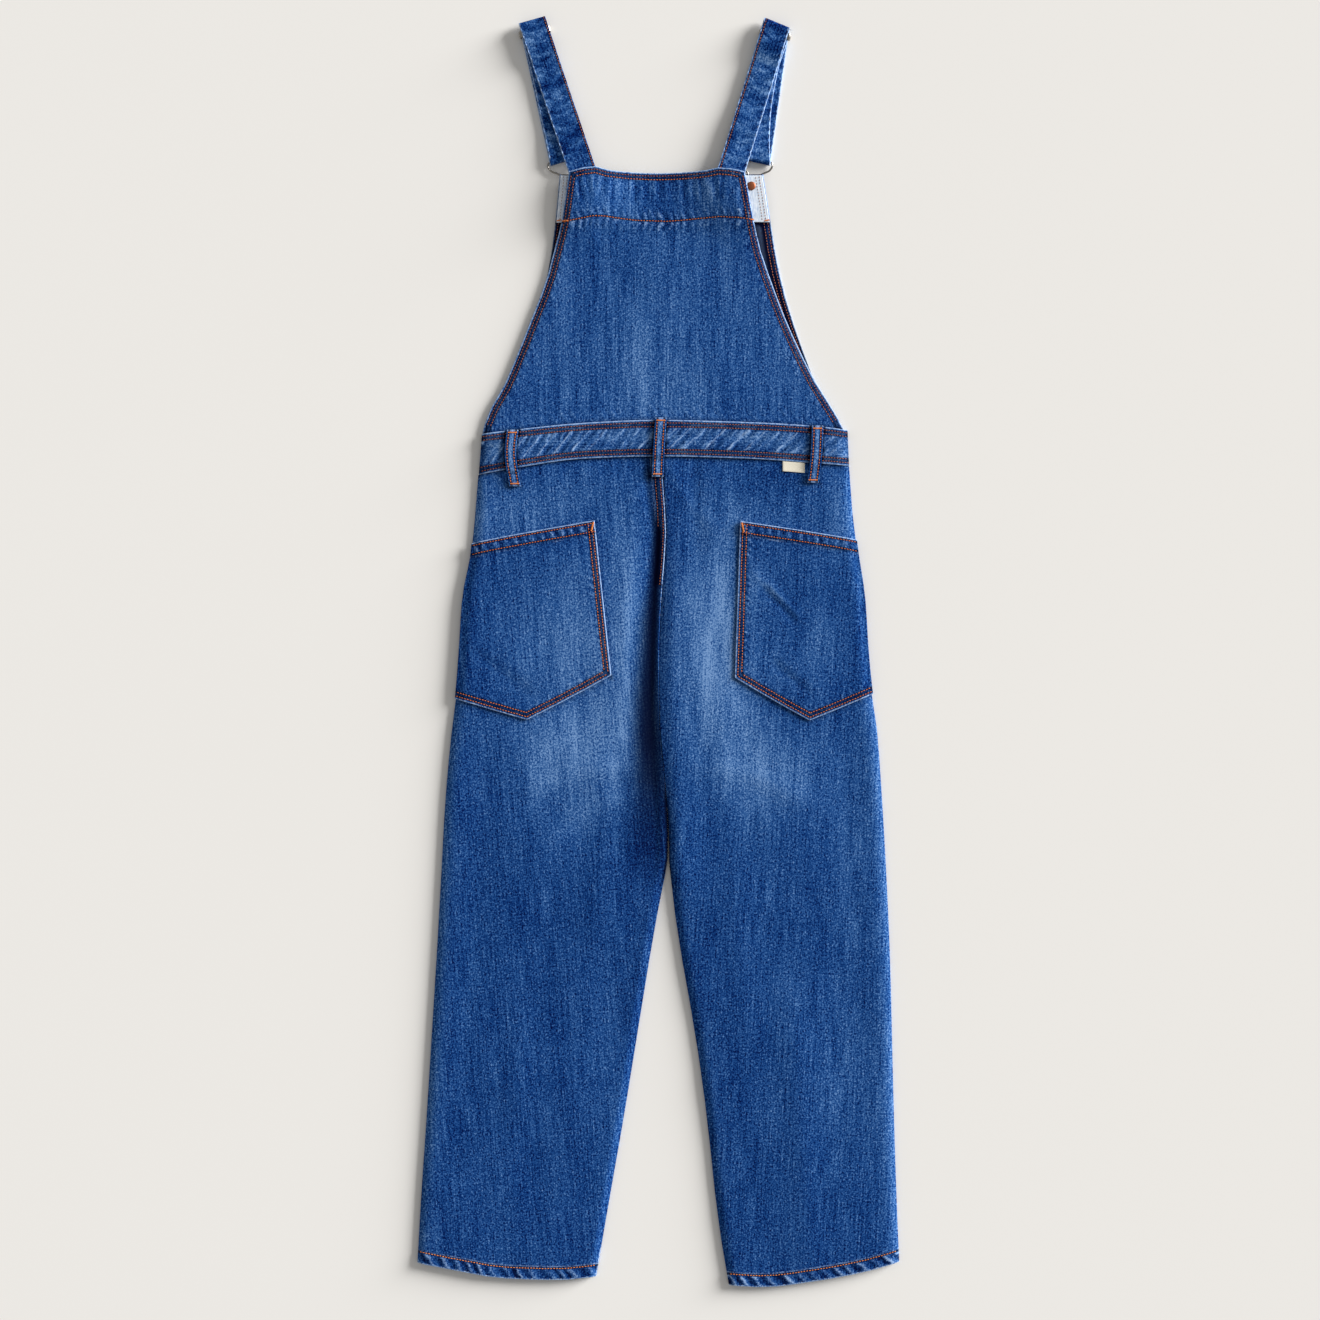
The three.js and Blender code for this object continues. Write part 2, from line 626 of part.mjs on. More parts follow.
function strap(which) {
  const { backDown, foldCentre, bar, frontDown, hookDown, frontLength } = strapLayout(which);
  const s = straps[which];
  const end = flat(s.bib).addScaledVector(backDown, STRAP.tuck);
  const backLength = end.distanceTo(foldCentre);
  const backZ = through(backRunHeights, "s", "z");
  const frontZ = through(frontRunHeights, "s", "z");
  const returnZ = through(returnHeights, "s", "z");
  const drift = through(returnDrift[which], "s", "shift");
  const backAcross = acrossOf(backDown);
  const frontAcross = acrossOf(frontDown);
  const hookAcross = acrossOf(hookDown);
  const turn = (from, to, t) => from.clone().lerp(to, t).normalize();
  const stations = [];
  const add = (at, across) => stations.push({ at, across });

  for (const t of even(16)) {
    const at = end.clone().lerp(foldCentre, t);
    at.z = backZ(t * backLength);
    add(at, backAcross.clone());
  }
  const high = backZ(backLength);
  const low = frontZ(0);
  for (const t of even(8).slice(1)) {
    const angle = t * Math.PI;
    const at = foldCentre.clone().addScaledVector(backDown, -FOLD_RADIUS * Math.sin(angle));
    at.z = (high + low) / 2 + ((high - low) / 2) * Math.cos(angle);
    const lean = THREE.MathUtils.degToRad(s.foldLean) * Math.sin(angle);
    add(at, turn(backAcross, frontAcross, t).applyAxisAngle(new THREE.Vector3(0, 0, 1), lean));
  }
  for (const t of even(14).slice(1)) {
    const at = foldCentre.clone().lerp(bar, t);
    at.z = frontZ(t * frontLength);
    add(at, turn(frontAcross, hookAcross, ease((t - 0.4) / 0.6)));
  }
  for (const t of even(8).slice(1)) {
    const angle = t * Math.PI;
    const at = bar.clone().addScaledVector(hookDown, BAR_RADIUS * Math.sin(angle));
    at.z = BAR_HEIGHT - BAR_RADIUS * Math.cos(angle);
    add(at, hookAcross.clone());
  }
  const tail = frontLength - 1.5;
  for (const t of even(14).slice(1)) {
    const distance = t * tail;
    const at = bar.clone().lerp(foldCentre, distance / frontLength);
    at.addScaledVector(frontAcross, -drift(distance));
    at.z = returnZ(distance);
    add(at, turn(hookAcross, frontAcross, ease(t / 0.6)));
  }
  return ribbon(stations, STRAP.width, STRAP.thick);
}

// A metal slide that holds the strap's two front layers together, just under the fold
function slide(which) {
  const { foldCentre, frontDown } = strapLayout(which);
  const opening = SLIDE.width - 2 * SLIDE.side;
  const inside = 2 * STRAP.thick + 3 * SEAM_GAP + 0.2;
  const high = inside + 2 * SLIDE.bar;
  const shape = roundedBox(SLIDE.width, high, 2);
  shape.holes.push(roundedBox(opening, inside, 0.6));
  const geometry = new THREE.ExtrudeGeometry(shape, { depth: SLIDE.long, bevelEnabled: false, curveSegments: 3 });
  const across = acrossOf(frontDown);
  const start = foldCentre.clone().addScaledVector(frontDown, SLIDE.fromFold - FOLD_RADIUS - SLIDE.long / 2);
  start.z = high / 2;
  const up = new THREE.Vector3(0, 0, 1);
  geometry.applyMatrix4(new THREE.Matrix4().makeBasis(across, up, frontDown.clone()).setPosition(start));
  return geometry;
}

function roundedBox(wide, high, radius) {
  const shape = new THREE.Shape();
  const x = wide / 2 - radius;
  const y = high / 2 - radius;
  shape.absarc(x, y, radius, 0, Math.PI / 2);
  shape.absarc(-x, y, radius, Math.PI / 2, Math.PI);
  shape.absarc(-x, -y, radius, Math.PI, 1.5 * Math.PI);
  shape.absarc(x, -y, radius, 1.5 * Math.PI, 2 * Math.PI);
  return shape;
}

// Half of the wire hook, from the middle of its bar round to the foot of its keyhole
const hookHalf = [
  { across: 9, down: 0, z: BAR_HEIGHT },
  { across: 16.2, down: 0, z: BAR_HEIGHT },
  { across: 18, down: 3, z: BAR_HEIGHT },
  { across: 16, down: 9, z: BAR_HEIGHT + 0.1 },
  { across: 10, down: 13.5, z: 4.2 },
  { across: 6, down: 18, z: 4.6 },
  { across: 5.3, down: 24, z: 4.8 },
  { across: 5.3, down: 29, z: 4.8 },
  { across: 3.8, down: 33.2, z: 4.8 },
];

function hook(which) {
  const { bar, hookDown } = strapLayout(which);
  const across = acrossOf(hookDown);
  const length = flat(straps[which].button).distanceTo(bar);
  const stretch = length / 30;
  const point = ({ across: a, down, z }, sign) => {
    const at = bar.clone().addScaledVector(across, sign * a).addScaledVector(hookDown, down * stretch);
    at.z = z;
    return at;
  };
  const foot = bar.clone().addScaledVector(hookDown, length + 5.2);
  foot.z = 4.8;
  const path = new THREE.CatmullRomCurve3(
    [...hookHalf.map((p) => point(p, 1)), foot, ...[...hookHalf].reverse().map((p) => point(p, -1))],
    true,
    "centripetal",
  );
  return new THREE.TubeGeometry(path, 46, WIRE / 2, 7, true);
}

function turned(profile, [x, y], segments = 18) {
  const geometry = new THREE.LatheGeometry(
    profile.map(([r, z]) => new THREE.Vector2(r, z)),
    segments,
  );
  geometry.rotateX(Math.PI / 2);
  geometry.translate(x, y, 0);
  return geometry;
}

// The tack button's head lies on the surface and its neck carries the hook
function button(which) {
  const { head, headHigh, neck, neckTop } = BUTTON;
  return turned(
    [
      [0, 0],
      [head - 1.6, 0],
      [head - 0.4, 0.7],
      [head, 1.6],
      [head - 0.4, 2.5],
      [head - 1.6, headHigh],
      [neck, headHigh],
      [neck, neckTop],
      [0, neckTop],
    ],
    straps[which].button,
  );
}

// The tack's back: a domed cap on the facing, with its post down through the cloth
function rivet(which) {
  const { post, cap, neckTop } = BUTTON;
  const seat = BUTTON_LIFT.high + BIB.wall + BIB.facing + 2 * SEAM_GAP;
  return turned(
    [
      [0, neckTop + SEAM_GAP],
      [post, neckTop + SEAM_GAP],
      [post, seat],
      [cap, seat],
      [cap - 0.3, seat + 0.55],
      [cap - 1.6, seat + 0.95],
      [0, seat + 1.05],
    ],
    straps[which].button,
  );
}

function solidOf(geometry) {
  const bare = geometry.clone();
  bare.deleteAttribute("normal");
  bare.deleteAttribute("uv");
  const merged = mergeVertices(bare, 1e-3);
  return new wasm.Manifold(
    new wasm.Mesh({
      numProp: 3,
      vertProperties: merged.attributes.position.array,
      triVerts: new Uint32Array(merged.index.array),
    }),
  );
}

function geometryOf(solid) {
  const mesh = solid.getMesh();
  const geometry = new THREE.BufferGeometry();
  geometry.setAttribute("position", new THREE.BufferAttribute(new Float32Array(mesh.vertProperties), 3));
  geometry.setIndex(new THREE.BufferAttribute(new Uint32Array(mesh.triVerts), 1));
  return geometry;
}

// Cuts the two holes for the tack buttons' posts
function drilled(geometry) {
  let solid = solidOf(geometry);
  for (const { button: centre } of Object.values(straps)) {
    const drill = new THREE.CylinderGeometry(BUTTON.post + SEAM_GAP, BUTTON.post + SEAM_GAP, 40, 12);
    drill.rotateX(Math.PI / 2);
    drill.translate(centre[0], centre[1], 0);
    solid = solid.subtract(solidOf(drill));
  }
  return geometryOf(solid);
}

const materials = {
  denim: new THREE.MeshStandardMaterial({ color: "#2f5597", roughness: 0.9, metalness: 0 }),
  wrongSide: new THREE.MeshStandardMaterial({ color: "#cfdbe8", roughness: 0.9, metalness: 0 }),
  nickel: new THREE.MeshStandardMaterial({ color: "#c9c6c0", roughness: 0.3, metalness: 1 }),
  copper: new THREE.MeshStandardMaterial({ color: "#a4532f", roughness: 0.4, metalness: 1 }),
  label: new THREE.MeshStandardMaterial({ color: "#efe6cf", roughness: 0.8, metalness: 0 }),
};

const dungarees = new THREE.Group();
function addPiece(name, geometry, material) {
  const mesh = new THREE.Mesh(geometry, materials[material]);
  mesh.name = name;
  dungarees.add(mesh);
}

for (const which of ["left", "right"]) {
  addPiece(`front_leg_${which}`, frontLeg(which), "denim");
  addPiece(`back_leg_${which}`, backLeg(which), "denim");
  addPiece(`pocket_${which}`, pocket(which), "denim");
  addPiece(`strap_${which}`, strap(which), "denim");
  addPiece(`strap_slide_${which}`, slide(which), "nickel");
  addPiece(`hook_${which}`, hook(which), "nickel");
  addPiece(`bib_button_${which}`, button(which), "nickel");
  addPiece(`bib_rivet_${which}`, rivet(which), "copper");
}
addPiece("waistband_front", waistbandFront(), "denim");
addPiece("waistband_back", waistbandBack(), "denim");
addPiece("front_bib", frontBib(), "denim");
addPiece("front_bib_facing", frontBibFacing(), "wrongSide");
addPiece("back_bib", backBib(), "denim");
for (const name of Object.keys(beltLoops)) addPiece(`belt_loop_${name}`, beltLoop(name), "denim");
addPiece("label_tab", labelTab(), "label");

export default dungarees;
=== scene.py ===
# Denim dungarees laid flat on their front, back up: the looks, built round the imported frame.
import math
import random

import bmesh
import bpy
import numpy as np
from mathutils import Matrix, Vector
from mathutils.bvhtree import BVHTree
from mathutils.kdtree import KDTree


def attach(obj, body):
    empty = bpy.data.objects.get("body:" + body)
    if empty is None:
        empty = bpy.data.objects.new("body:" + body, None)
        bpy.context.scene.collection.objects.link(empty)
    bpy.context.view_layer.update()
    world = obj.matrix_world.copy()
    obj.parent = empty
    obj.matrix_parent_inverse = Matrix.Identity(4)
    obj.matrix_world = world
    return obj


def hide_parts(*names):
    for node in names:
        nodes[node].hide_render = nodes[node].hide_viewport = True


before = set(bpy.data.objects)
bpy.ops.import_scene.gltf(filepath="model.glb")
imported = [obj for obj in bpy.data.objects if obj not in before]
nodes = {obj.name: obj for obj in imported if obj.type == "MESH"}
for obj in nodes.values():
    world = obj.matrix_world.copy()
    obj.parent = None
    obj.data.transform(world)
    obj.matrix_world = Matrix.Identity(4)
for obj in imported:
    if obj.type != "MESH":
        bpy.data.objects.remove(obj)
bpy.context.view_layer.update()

mm = 0.001
print("stage: frame loaded")

# Camera: straight down on the floor, as the photo was taken
camera = {"spans": 1.452, "centre": (0.0022, -0.011), "lens": 85, "sensor": 36}
cameraData = bpy.data.cameras.new("photoCamera")
cameraData.lens = camera["lens"]
cameraData.sensor_width = camera["sensor"]
cameraData.clip_end = 30
cameraObject = bpy.data.objects.new("photoCamera", cameraData)
cameraObject.location = (*camera["centre"], camera["spans"] * camera["lens"] / camera["sensor"])
bpy.context.scene.collection.objects.link(cameraObject)
bpy.context.scene.camera = cameraObject

# Studio: pale floor, a low soft light from the upper right and strong even fill from the world
studio = {
    "floor": "#EAE7E2",
    "floorFleck": "#EBE8E3",
    "floorSize": 14,
    "floorDrop": 0.0003,
    "world": "#FFFFFF",
    "fill": 0.36,
    "keyStrength": 7.84,
    "keySpread": 30,  # degrees, for soft shadows
    "keyFrom": (1.766, 0.824, 0.52),
}


def linear(code):
    # sRGB hex to the linear colour that Blender's sockets take
    values = [int(code[i : i + 2], 16) / 255 for i in (1, 3, 5)]
    return (*[v / 12.92 if v <= 0.04045 else ((v + 0.055) / 1.055) ** 2.4 for v in values], 1)


def addNode(tree, kind, inputs, output=0, **settings):
    # Inputs are values or other nodes' sockets; what comes back is the output that is asked for
    node = tree.nodes.new("ShaderNode" + kind)
    for key, value in settings.items():
        setattr(node, key, value)
    for key, value in inputs.items():
        if isinstance(value, bpy.types.NodeSocket):
            tree.links.new(value, node.inputs[key])
        else:
            node.inputs[key].default_value = value
    return node.outputs[output] if node.outputs else None


def fromTo(value, low, high, first, last):
    # What a Map Range node takes
    return {"Value": value, "From Min": low, "From Max": high, "To Min": first, "To Max": last}


def setTones(ramp, tones):
    # Gives a colour ramp its stops
    stops = ramp.node.color_ramp.elements
    (stops[0].position, first), (stops[1].position, last) = tones[0], tones[-1]
    stops[0].color, stops[1].color = linear(first), linear(last)
    for place, tone in tones[1:-1]:
        stops.new(place).color = linear(tone)


def newMaterial(name):
    material = bpy.data.materials.new(name)
    material.use_nodes = True
    material.node_tree.nodes.clear()
    return material, material.node_tree


def finishMaterial(material, surface):
    # The shader takes these values and sockets and goes to the output
    shader = addNode(material.node_tree, "BsdfPrincipled", surface)
    addNode(material.node_tree, "OutputMaterial", {"Surface": shader})
    return material


# Materials


# Indigo denim, a 3 by 1 cotton twill, stonewashed: uneven warp yarns show as fine streaks along the grain,
# the blue is lighter where the cloth was rubbed, and folded edges are worn nearly white.
denimLook = {
    "tones": ((0.0, "#00073C"), (0.2, "#032966"), (0.35, "#113D79"), (0.5, "#24508D"), (0.65, "#3B659D"),
              (0.8, "#567DB2"), (1.0, "#7699C8")),
    "wornThread": "#A4C0E6",
    "weft": "#8797AB",
    "shadow": "#00041F",
    "nap": "#3F66B0",
    # Noises: size across and along the warp in millimetres, detail, strength
    "streak": (2.0, 60, 3, 0.84),  # real yarns are 0.6 mm across, too fine to show
    "yarn": (1.5, 3.2, 2, 1.1),
    "speck": (1.8, 1.8, 1, 1.4),
    "mottle": (9, 14, 2, 0.28),
    "cloud": (30, 160, 2, 0.32),
    "twill": 1.8,  # mm between twill lines; real ones are 0.7 mm apart, too fine to show
    # Pale wear: the noise that breaks it up, its middle and strength, the range that is read, what that gives
    "wear": {
        "edge": ("yarn", 0.45, 5.0, 0.4, 1.7, 0.82, 0.0),
        "worn": ("speck", 0.55, 0.8, 0.1, 0.9, 0.0, 0.85),
    },
    # Painted shade: a dark line along each stitched row, broken up by the speck noise
    "groove": (0.5, 2.1, 1.0, 0.0),  # the dark line along a stitched row, by distance in millimetres
    "grooveBroken": (0.3, 0.62, 0.97, 0.75),
    "roughness": 0.9,
}


def denimMaterial(name, look):
    material, tree = newMaterial(name)
    grain = addNode(tree, "UVMap", {}, "UV", uv_map="grain")  # millimetres, second axis along the warp
    # Painted on the vertices: the wash level, which also carries some painted highlight and shade; pale wear;
    # painted shade; the wrong side; distance to a worn rim
    painted = {
        key: addNode(tree, "Attribute", {}, "Fac", attribute_name=key)
        for key in ("wash", "worn", "shade", "weft", "edge")
    }

    def shaken(value, noise, middle, amount):
        # Adds a noise, counted from its middle
        shift = addNode(tree, "Math", {0: noise, 1: middle}, operation="SUBTRACT")
        shift = addNode(tree, "Math", {0: shift, 1: amount}, operation="MULTIPLY")
        return addNode(tree, "Math", {0: value, 1: shift}, operation="ADD")

    noises, level = {}, painted["wash"]
    for key in ("streak", "yarn", "speck", "mottle", "cloud"):
        across, along, detail, amount = look[key]
        scaled = addNode(tree, "Mapping", {"Vector": grain, "Scale": (1 / across, 1 / along, 1)})
        inputs = {"Vector": scaled, "Scale": 1.0, "Detail": detail, "Roughness": 0.6}
        noises[key] = addNode(tree, "TexNoise", inputs, "Fac")
        level = shaken(level, noises[key], 0.5, amount)
    colour = addNode(tree, "ValToRGB", {"Fac": level})
    setTones(colour, look["tones"])

    pale = 0.0
    for key, (noise, middle, amount, *limits) in look["wear"].items():
        value = shaken(painted[key], noises[noise], middle, amount)
        value = addNode(tree, "MapRange", fromTo(value, *limits), interpolation_type="SMOOTHSTEP")
        pale = addNode(tree, "Math", {0: pale, 1: value}, operation="MAXIMUM")

    # Painted shade: the dark line along each stitched row, taken together with the painted shade attribute
    groove = 0.0
    rows = addNode(tree, "Attribute", {}, "Vector", attribute_name="rows")
    for row in addNode(tree, "SeparateXYZ", {0: rows}).node.outputs:
        line = addNode(tree, "Math", {0: row}, operation="ABSOLUTE")
        line = addNode(tree, "MapRange", fromTo(line, *look["groove"]), interpolation_type="SMOOTHSTEP")
        groove = addNode(tree, "Math", {0: groove, 1: line}, operation="MAXIMUM")
    broken = fromTo(noises["speck"], *look["grooveBroken"])
    broken = addNode(tree, "MapRange", broken, interpolation_type="SMOOTHSTEP")
    dark = addNode(tree, "Math", {0: groove, 1: broken}, operation="MULTIPLY")
    dark = addNode(tree, "Math", {0: painted["shade"], 1: dark}, operation="MAXIMUM")

    # Mixed in turn: the wrong side, pale wear, then painted shade in the shadow tone
    for amount, tone in ((painted["weft"], "weft"), (pale, "wornThread"), (dark, "shadow")):
        colour = addNode(tree, "Mix", {0: amount, 6: colour, 7: linear(look[tone])}, 2, data_type="RGBA")

    twillSpace = addNode(tree, "Mapping", {"Vector": grain, "Scale": (1, 0.8, 1)})
    twill = {"Vector": twillSpace, "Scale": 0.628 / look["twill"], "Distortion": 1.5, "Detail": 1.0}
    height = addNode(tree, "TexWave", twill, "Fac", bands_direction="DIAGONAL")
    for operation, value in (("MULTIPLY", 0.4), ("ADD", noises["yarn"]), ("SUBTRACT", groove)):
        height = addNode(tree, "Math", {0: height, 1: value}, operation=operation)
    bump = addNode(tree, "Bump", {"Height": height, "Strength": 0.25, "Distance": 0.35 * mm})
    return finishMaterial(material, {
        "Base Color": colour, "Roughness": look["roughness"], "Normal": bump, "Specular IOR Level": 0.04,
        "Sheen Weight": 0.05, "Sheen Roughness": 0.5, "Sheen Tint": linear(look["nap"]),
    })


# The wrong side of the same twill: the undyed weft covers it, so it is a pale, faintly streaked blue-white.
def wrongSideMaterial():
    material, tree = newMaterial("twillWrongSide")
    grain = addNode(tree, "UVMap", {}, "UV", uv_map="grain")
    scaled = addNode(tree, "Mapping", {"Vector": grain, "Scale": (1 / 1.6, 1 / 6, 1)})
    yarns = addNode(tree, "TexNoise", {"Vector": scaled, "Scale": 1.0, "Detail": 3.0}, "Fac")
    ramp = addNode(tree, "ValToRGB", {"Fac": yarns})
    setTones(ramp, ((0.3, "#B7C6DA"), (0.62, "#E6ECF3")))
    bump = addNode(tree, "Bump", {"Height": yarns, "Strength": 0.4, "Distance": 0.2 * mm})
    return finishMaterial(
        material, {"Base Color": ramp, "Roughness": 0.92, "Normal": bump, "Specular IOR Level": 0.2}
    )


# Spun polyester topstitching thread: satin, twisted from two plies
def threadMaterial(name, colour):
    material, tree = newMaterial(name)
    place = addNode(tree, "TexCoord", {}, "Object")
    twist = addNode(tree, "TexNoise", {"Vector": place, "Scale": 900.0, "Detail": 1.0}, "Fac")
    value = addNode(tree, "MapRange", fromTo(twist, 0, 1, 0.75, 1.3))
    tone = addNode(tree, "HueSaturation", {"Color": linear(colour), "Value": value})
    return finishMaterial(material, {"Base Color": tone, "Roughness": 0.62, "Specular IOR Level": 0.35})


# Nickel-plated steel wire and strip: bright, slightly brushed by wear. Copper-plated rivet: dull and warm.
def metalMaterial(name, colour, roughness):
    material, tree = newMaterial(name)
    place = addNode(tree, "TexCoord", {}, "Object")
    scuff = addNode(tree, "TexNoise", {"Vector": place, "Scale": 600.0, "Detail": 4.0}, "Fac")
    rough = addNode(tree, "MapRange", fromTo(scuff, 0, 1, roughness - 0.1, roughness + 0.14))
    bump = addNode(tree, "Bump", {"Height": scuff, "Strength": 0.15, "Distance": 0.05 * mm})
    return finishMaterial(
        material, {"Base Color": linear(colour), "Metallic": 1.0, "Roughness": rough, "Normal": bump}
    )


# Woven cotton tape, unprinted: fine ribs across it
def tapeMaterial():
    material, tree = newMaterial("cottonTape")
    place = addNode(tree, "TexCoord", {}, "Object")
    ribs = {"Vector": place, "Scale": 0.314 / (1.2 * mm), "Distortion": 0.6}
    ribs = addNode(tree, "TexWave", ribs, "Fac", bands_direction="Y")
    # Paler on the ribs and darker in the hollows between them: painted shade
    tone = addNode(tree, "Mix", {0: ribs, 6: linear("#DDD4BF"), 7: linear("#F3ECDB")}, 2, data_type="RGBA")
    bump = addNode(tree, "Bump", {"Height": ribs, "Strength": 0.3, "Distance": 0.15 * mm})
    return finishMaterial(
        material, {"Base Color": tone, "Roughness": 0.85, "Normal": bump, "Specular IOR Level": 0.25}
    )


# Matt studio board under the garment
def floorMaterial():
    material, tree = newMaterial("studioBoard")
    place = addNode(tree, "TexCoord", {}, "Object")
    grain = addNode(tree, "TexNoise", {"Vector": place, "Scale": 3.0, "Detail": 2.0}, "Fac")
    tones = {0: grain, 6: linear(studio["floor"]), 7: linear(studio["floorFleck"])}
    tone = addNode(tree, "Mix", tones, 2, data_type="RGBA")
    return finishMaterial(material, {"Base Color": tone, "Roughness": 0.95})


materials = {
    "denim": denimMaterial("stonewashedDenim", denimLook),
    "wrongSide": wrongSideMaterial(),
    "rust": threadMaterial("rustThread", "#CC6C30"),
    "brown": threadMaterial("brownThread", "#99553A"),
    "orange": threadMaterial("orangeThread", "#E08440"),
    "tan": threadMaterial("tanThread", "#A98F86"),
    "nickel": metalMaterial("nickelPlate", "#9A958E", 0.24),
    "copper": metalMaterial("copperPlate", "#9A5B40", 0.5),
    "tape": tapeMaterial(),
}
print("stage: materials made")


# Shape tools, in millimetres


def ease(value, start, end):
    # 0 before start, 1 after end, smooth between them
    t = np.clip((value - start) / (end - start), 0, 1)
    return t * t * (3 - 2 * t)


def waver(place, pitch, seed):
    # Smooth random wave along a line, from -1 to 1, a new value every pitch
    values = np.random.default_rng(seed).uniform(-1, 1, 512)
    t = place / pitch
    low = np.floor(t).astype(int)
    k = t - low
    k = k * k * (3 - 2 * k)
    return values[low % 512] * (1 - k) + values[(low + 1) % 512] * k


def cloudy(x, y, size, seed):
    # Smooth random field over the plane, from -1 to 1
    values = np.random.default_rng(seed).uniform(-1, 1, (64, 64))
    u, v = x / size, y / size
    i, j = np.floor(u).astype(int), np.floor(v).astype(int)
    a, b = u - i, v - j
    a, b = a * a * (3 - 2 * a), b * b * (3 - 2 * b)
    low = values[i % 64, j % 64] * (1 - a) + values[(i + 1) % 64, j % 64] * a
    high = values[i % 64, (j + 1) % 64] * (1 - a) + values[(i + 1) % 64, (j + 1) % 64] * a
    return low * (1 - b) + high * b


def lineLengths(line):
    return np.concatenate([[0], np.cumsum(np.linalg.norm(np.diff(line, axis=0), axis=1))])


def pointsOn(line, shares):
    # Points at these shares of a line's length
    along = lineLengths(line)
    places = np.asarray(shares) * along[-1]
    return np.stack([np.interp(places, along, line[:, k]) for k in range(line.shape[1])], axis=-1)


def distanceTo(x, y, line):
    # Distance of each point to a line, and how far along it the nearest place is
    points = np.stack([np.ravel(x), np.ravel(y)], axis=-1)
    along = lineLengths(line)
    best = np.full(len(points), 1e9)
    where = np.zeros(len(points))
    for a, b, s in zip(line[:-1], line[1:], along[:-1]):
        run = b - a
        length = np.hypot(*run)
        if length < 1e-6:
            continue
        t = np.clip(((points - a) @ run) / length**2, 0, 1)
        gap = np.hypot(*(points - a - t[:, None] * run).T)
        closer = gap < best
        best[closer] = gap[closer]
        where[closer] = s + t[closer] * length
    return best.reshape(np.shape(x)), where.reshape(np.shape(x))


def mergedNode(node):
    bm = bmesh.new()
    bm.from_mesh(nodes[node].data)
    bmesh.ops.remove_doubles(bm, verts=bm.verts, dist=0.01 * mm)
    return bm


def panelEdges(node, corners, names):
    # The outline of a node's upper face, split at its corners into named lines, x and y in millimetres
    bm = mergedNode(node)
    bmesh.ops.delete(bm, geom=[f for f in bm.faces if f.normal.z < 0.3], context="FACES")
    links = {}
    for edge in bm.edges:
        if edge.is_boundary:
            a, b = edge.verts
            links.setdefault(a, []).append(b)
            links.setdefault(b, []).append(a)
    loops = []
    left = set(links)
    while left:
        start = left.pop()
        loop = [start]
        while True:
            following = [v for v in links[loop[-1]] if v in left]
            if not following:
                break
            loop.append(following[0])
            left.discard(following[0])
        loops.append(loop)
    outline = np.array([(v.co.x / mm, v.co.y / mm) for v in max(loops, key=len)])
    bm.free()
    at = [int(np.argmin(np.hypot(*(outline - corner).T))) for corner in corners]
    outline = np.roll(outline, -at[0], axis=0)
    at = [(i - at[0]) % len(outline) for i in at]
    if at[1] > at[2]:
        outline = np.concatenate([outline[:1], outline[:0:-1]])
        at = [(len(outline) - i) % len(outline) for i in at]
    closed = np.concatenate([outline, outline[:1]])
    ends = at[1:] + [len(outline)]
    return {name: closed[a : b + 1] for name, a, b in zip(names, at, ends)}  # each runs clockwise


def spaced(length, step, nearStart=(), nearEnd=()):
    # Shares of a length: close ones at the ends, given in millimetres, and even ones between them
    start = [0, *nearStart]
    end = [length - d for d in reversed([0, *nearEnd])]
    count = max(1, round((end[0] - start[-1]) / step))
    middle = np.linspace(start[-1], end[0], count + 1)[1:-1]
    return np.array([*start, *middle, *end]) / length


def coonsPatch(edges, us, vs):
    # Fills four lines: top and bottom run with u, left and right with v
    top, right, bottom, left = edges
    upper, lower = pointsOn(top, us), pointsOn(bottom, us)
    first, last = pointsOn(left, vs), pointsOn(right, vs)
    u, v = us[None, :, None], vs[:, None, None]
    corners = (
        (1 - u) * (1 - v) * upper[0] + u * (1 - v) * upper[-1] + (1 - u) * v * lower[0] + u * v * lower[-1]
    )
    return (1 - v) * upper[None] + v * lower[None] + (1 - u) * first[:, None] + u * last[:, None] - corners


def heightsOver(node, x, y):
    # Height of a node's upper face at each point, straight down
    bm = mergedNode(node)
    tree = BVHTree.FromBMesh(bm)
    bm.free()
    heights = np.zeros(x.size)
    for i, (px, py) in enumerate(zip(x.ravel() * mm, y.ravel() * mm)):
        hit = tree.ray_cast(Vector((px, py, 1)), Vector((0, 0, -1)))[0]
        if hit is None:
            hit = tree.find_nearest(Vector((px, py, 0.01)))[0]
        heights[i] = hit.z / mm
    return heights.reshape(x.shape)


def softened(heights, times):
    # Evens out the facets of the frame; the outline keeps its own heights
    z = heights.copy()
    for _ in range(times):
        z[1:-1, 1:-1] = (
            z[1:-1, 1:-1] * 0.4
            + 0.15 * (z[:-2, 1:-1] + z[2:, 1:-1] + z[1:-1, :-2] + z[1:-1, 2:])
        )
    return z


def gridMesh(points, places=None):
    # A bmesh grid moved onto these points (x, y, z in millimetres), its first face looking up.
    # Places, two numbers for each point, stay with the vertices in a layer.
    rows, columns = points.shape[:2]
    bm = bmesh.new()
    bmesh.ops.create_grid(bm, x_segments=columns - 1, y_segments=rows - 1, size=1)
    layer = None if places is None else bm.verts.layers.float_vector.new("place")
    for v in bm.verts:
        i = round((v.co.x + 1) / 2 * (columns - 1))
        j = round((v.co.y + 1) / 2 * (rows - 1))
        v.co = Vector(points[j, i]) * mm
        if layer:
            v[layer] = Vector((*places[j, i], 0))
    bm.normal_update()
    bm.faces.ensure_lookup_table()
    if bm.faces[0].normal.z < 0:
        bmesh.ops.reverse_faces(bm, faces=bm.faces)
    return bm


def thicken(bm, thickness, rounding):
    # Gives a sheet its wall, downwards, and rounds the rim
    bmesh.ops.solidify(bm, geom=bm.faces[:], thickness=thickness * mm)
    rounded(bm, 1.0, rounding)


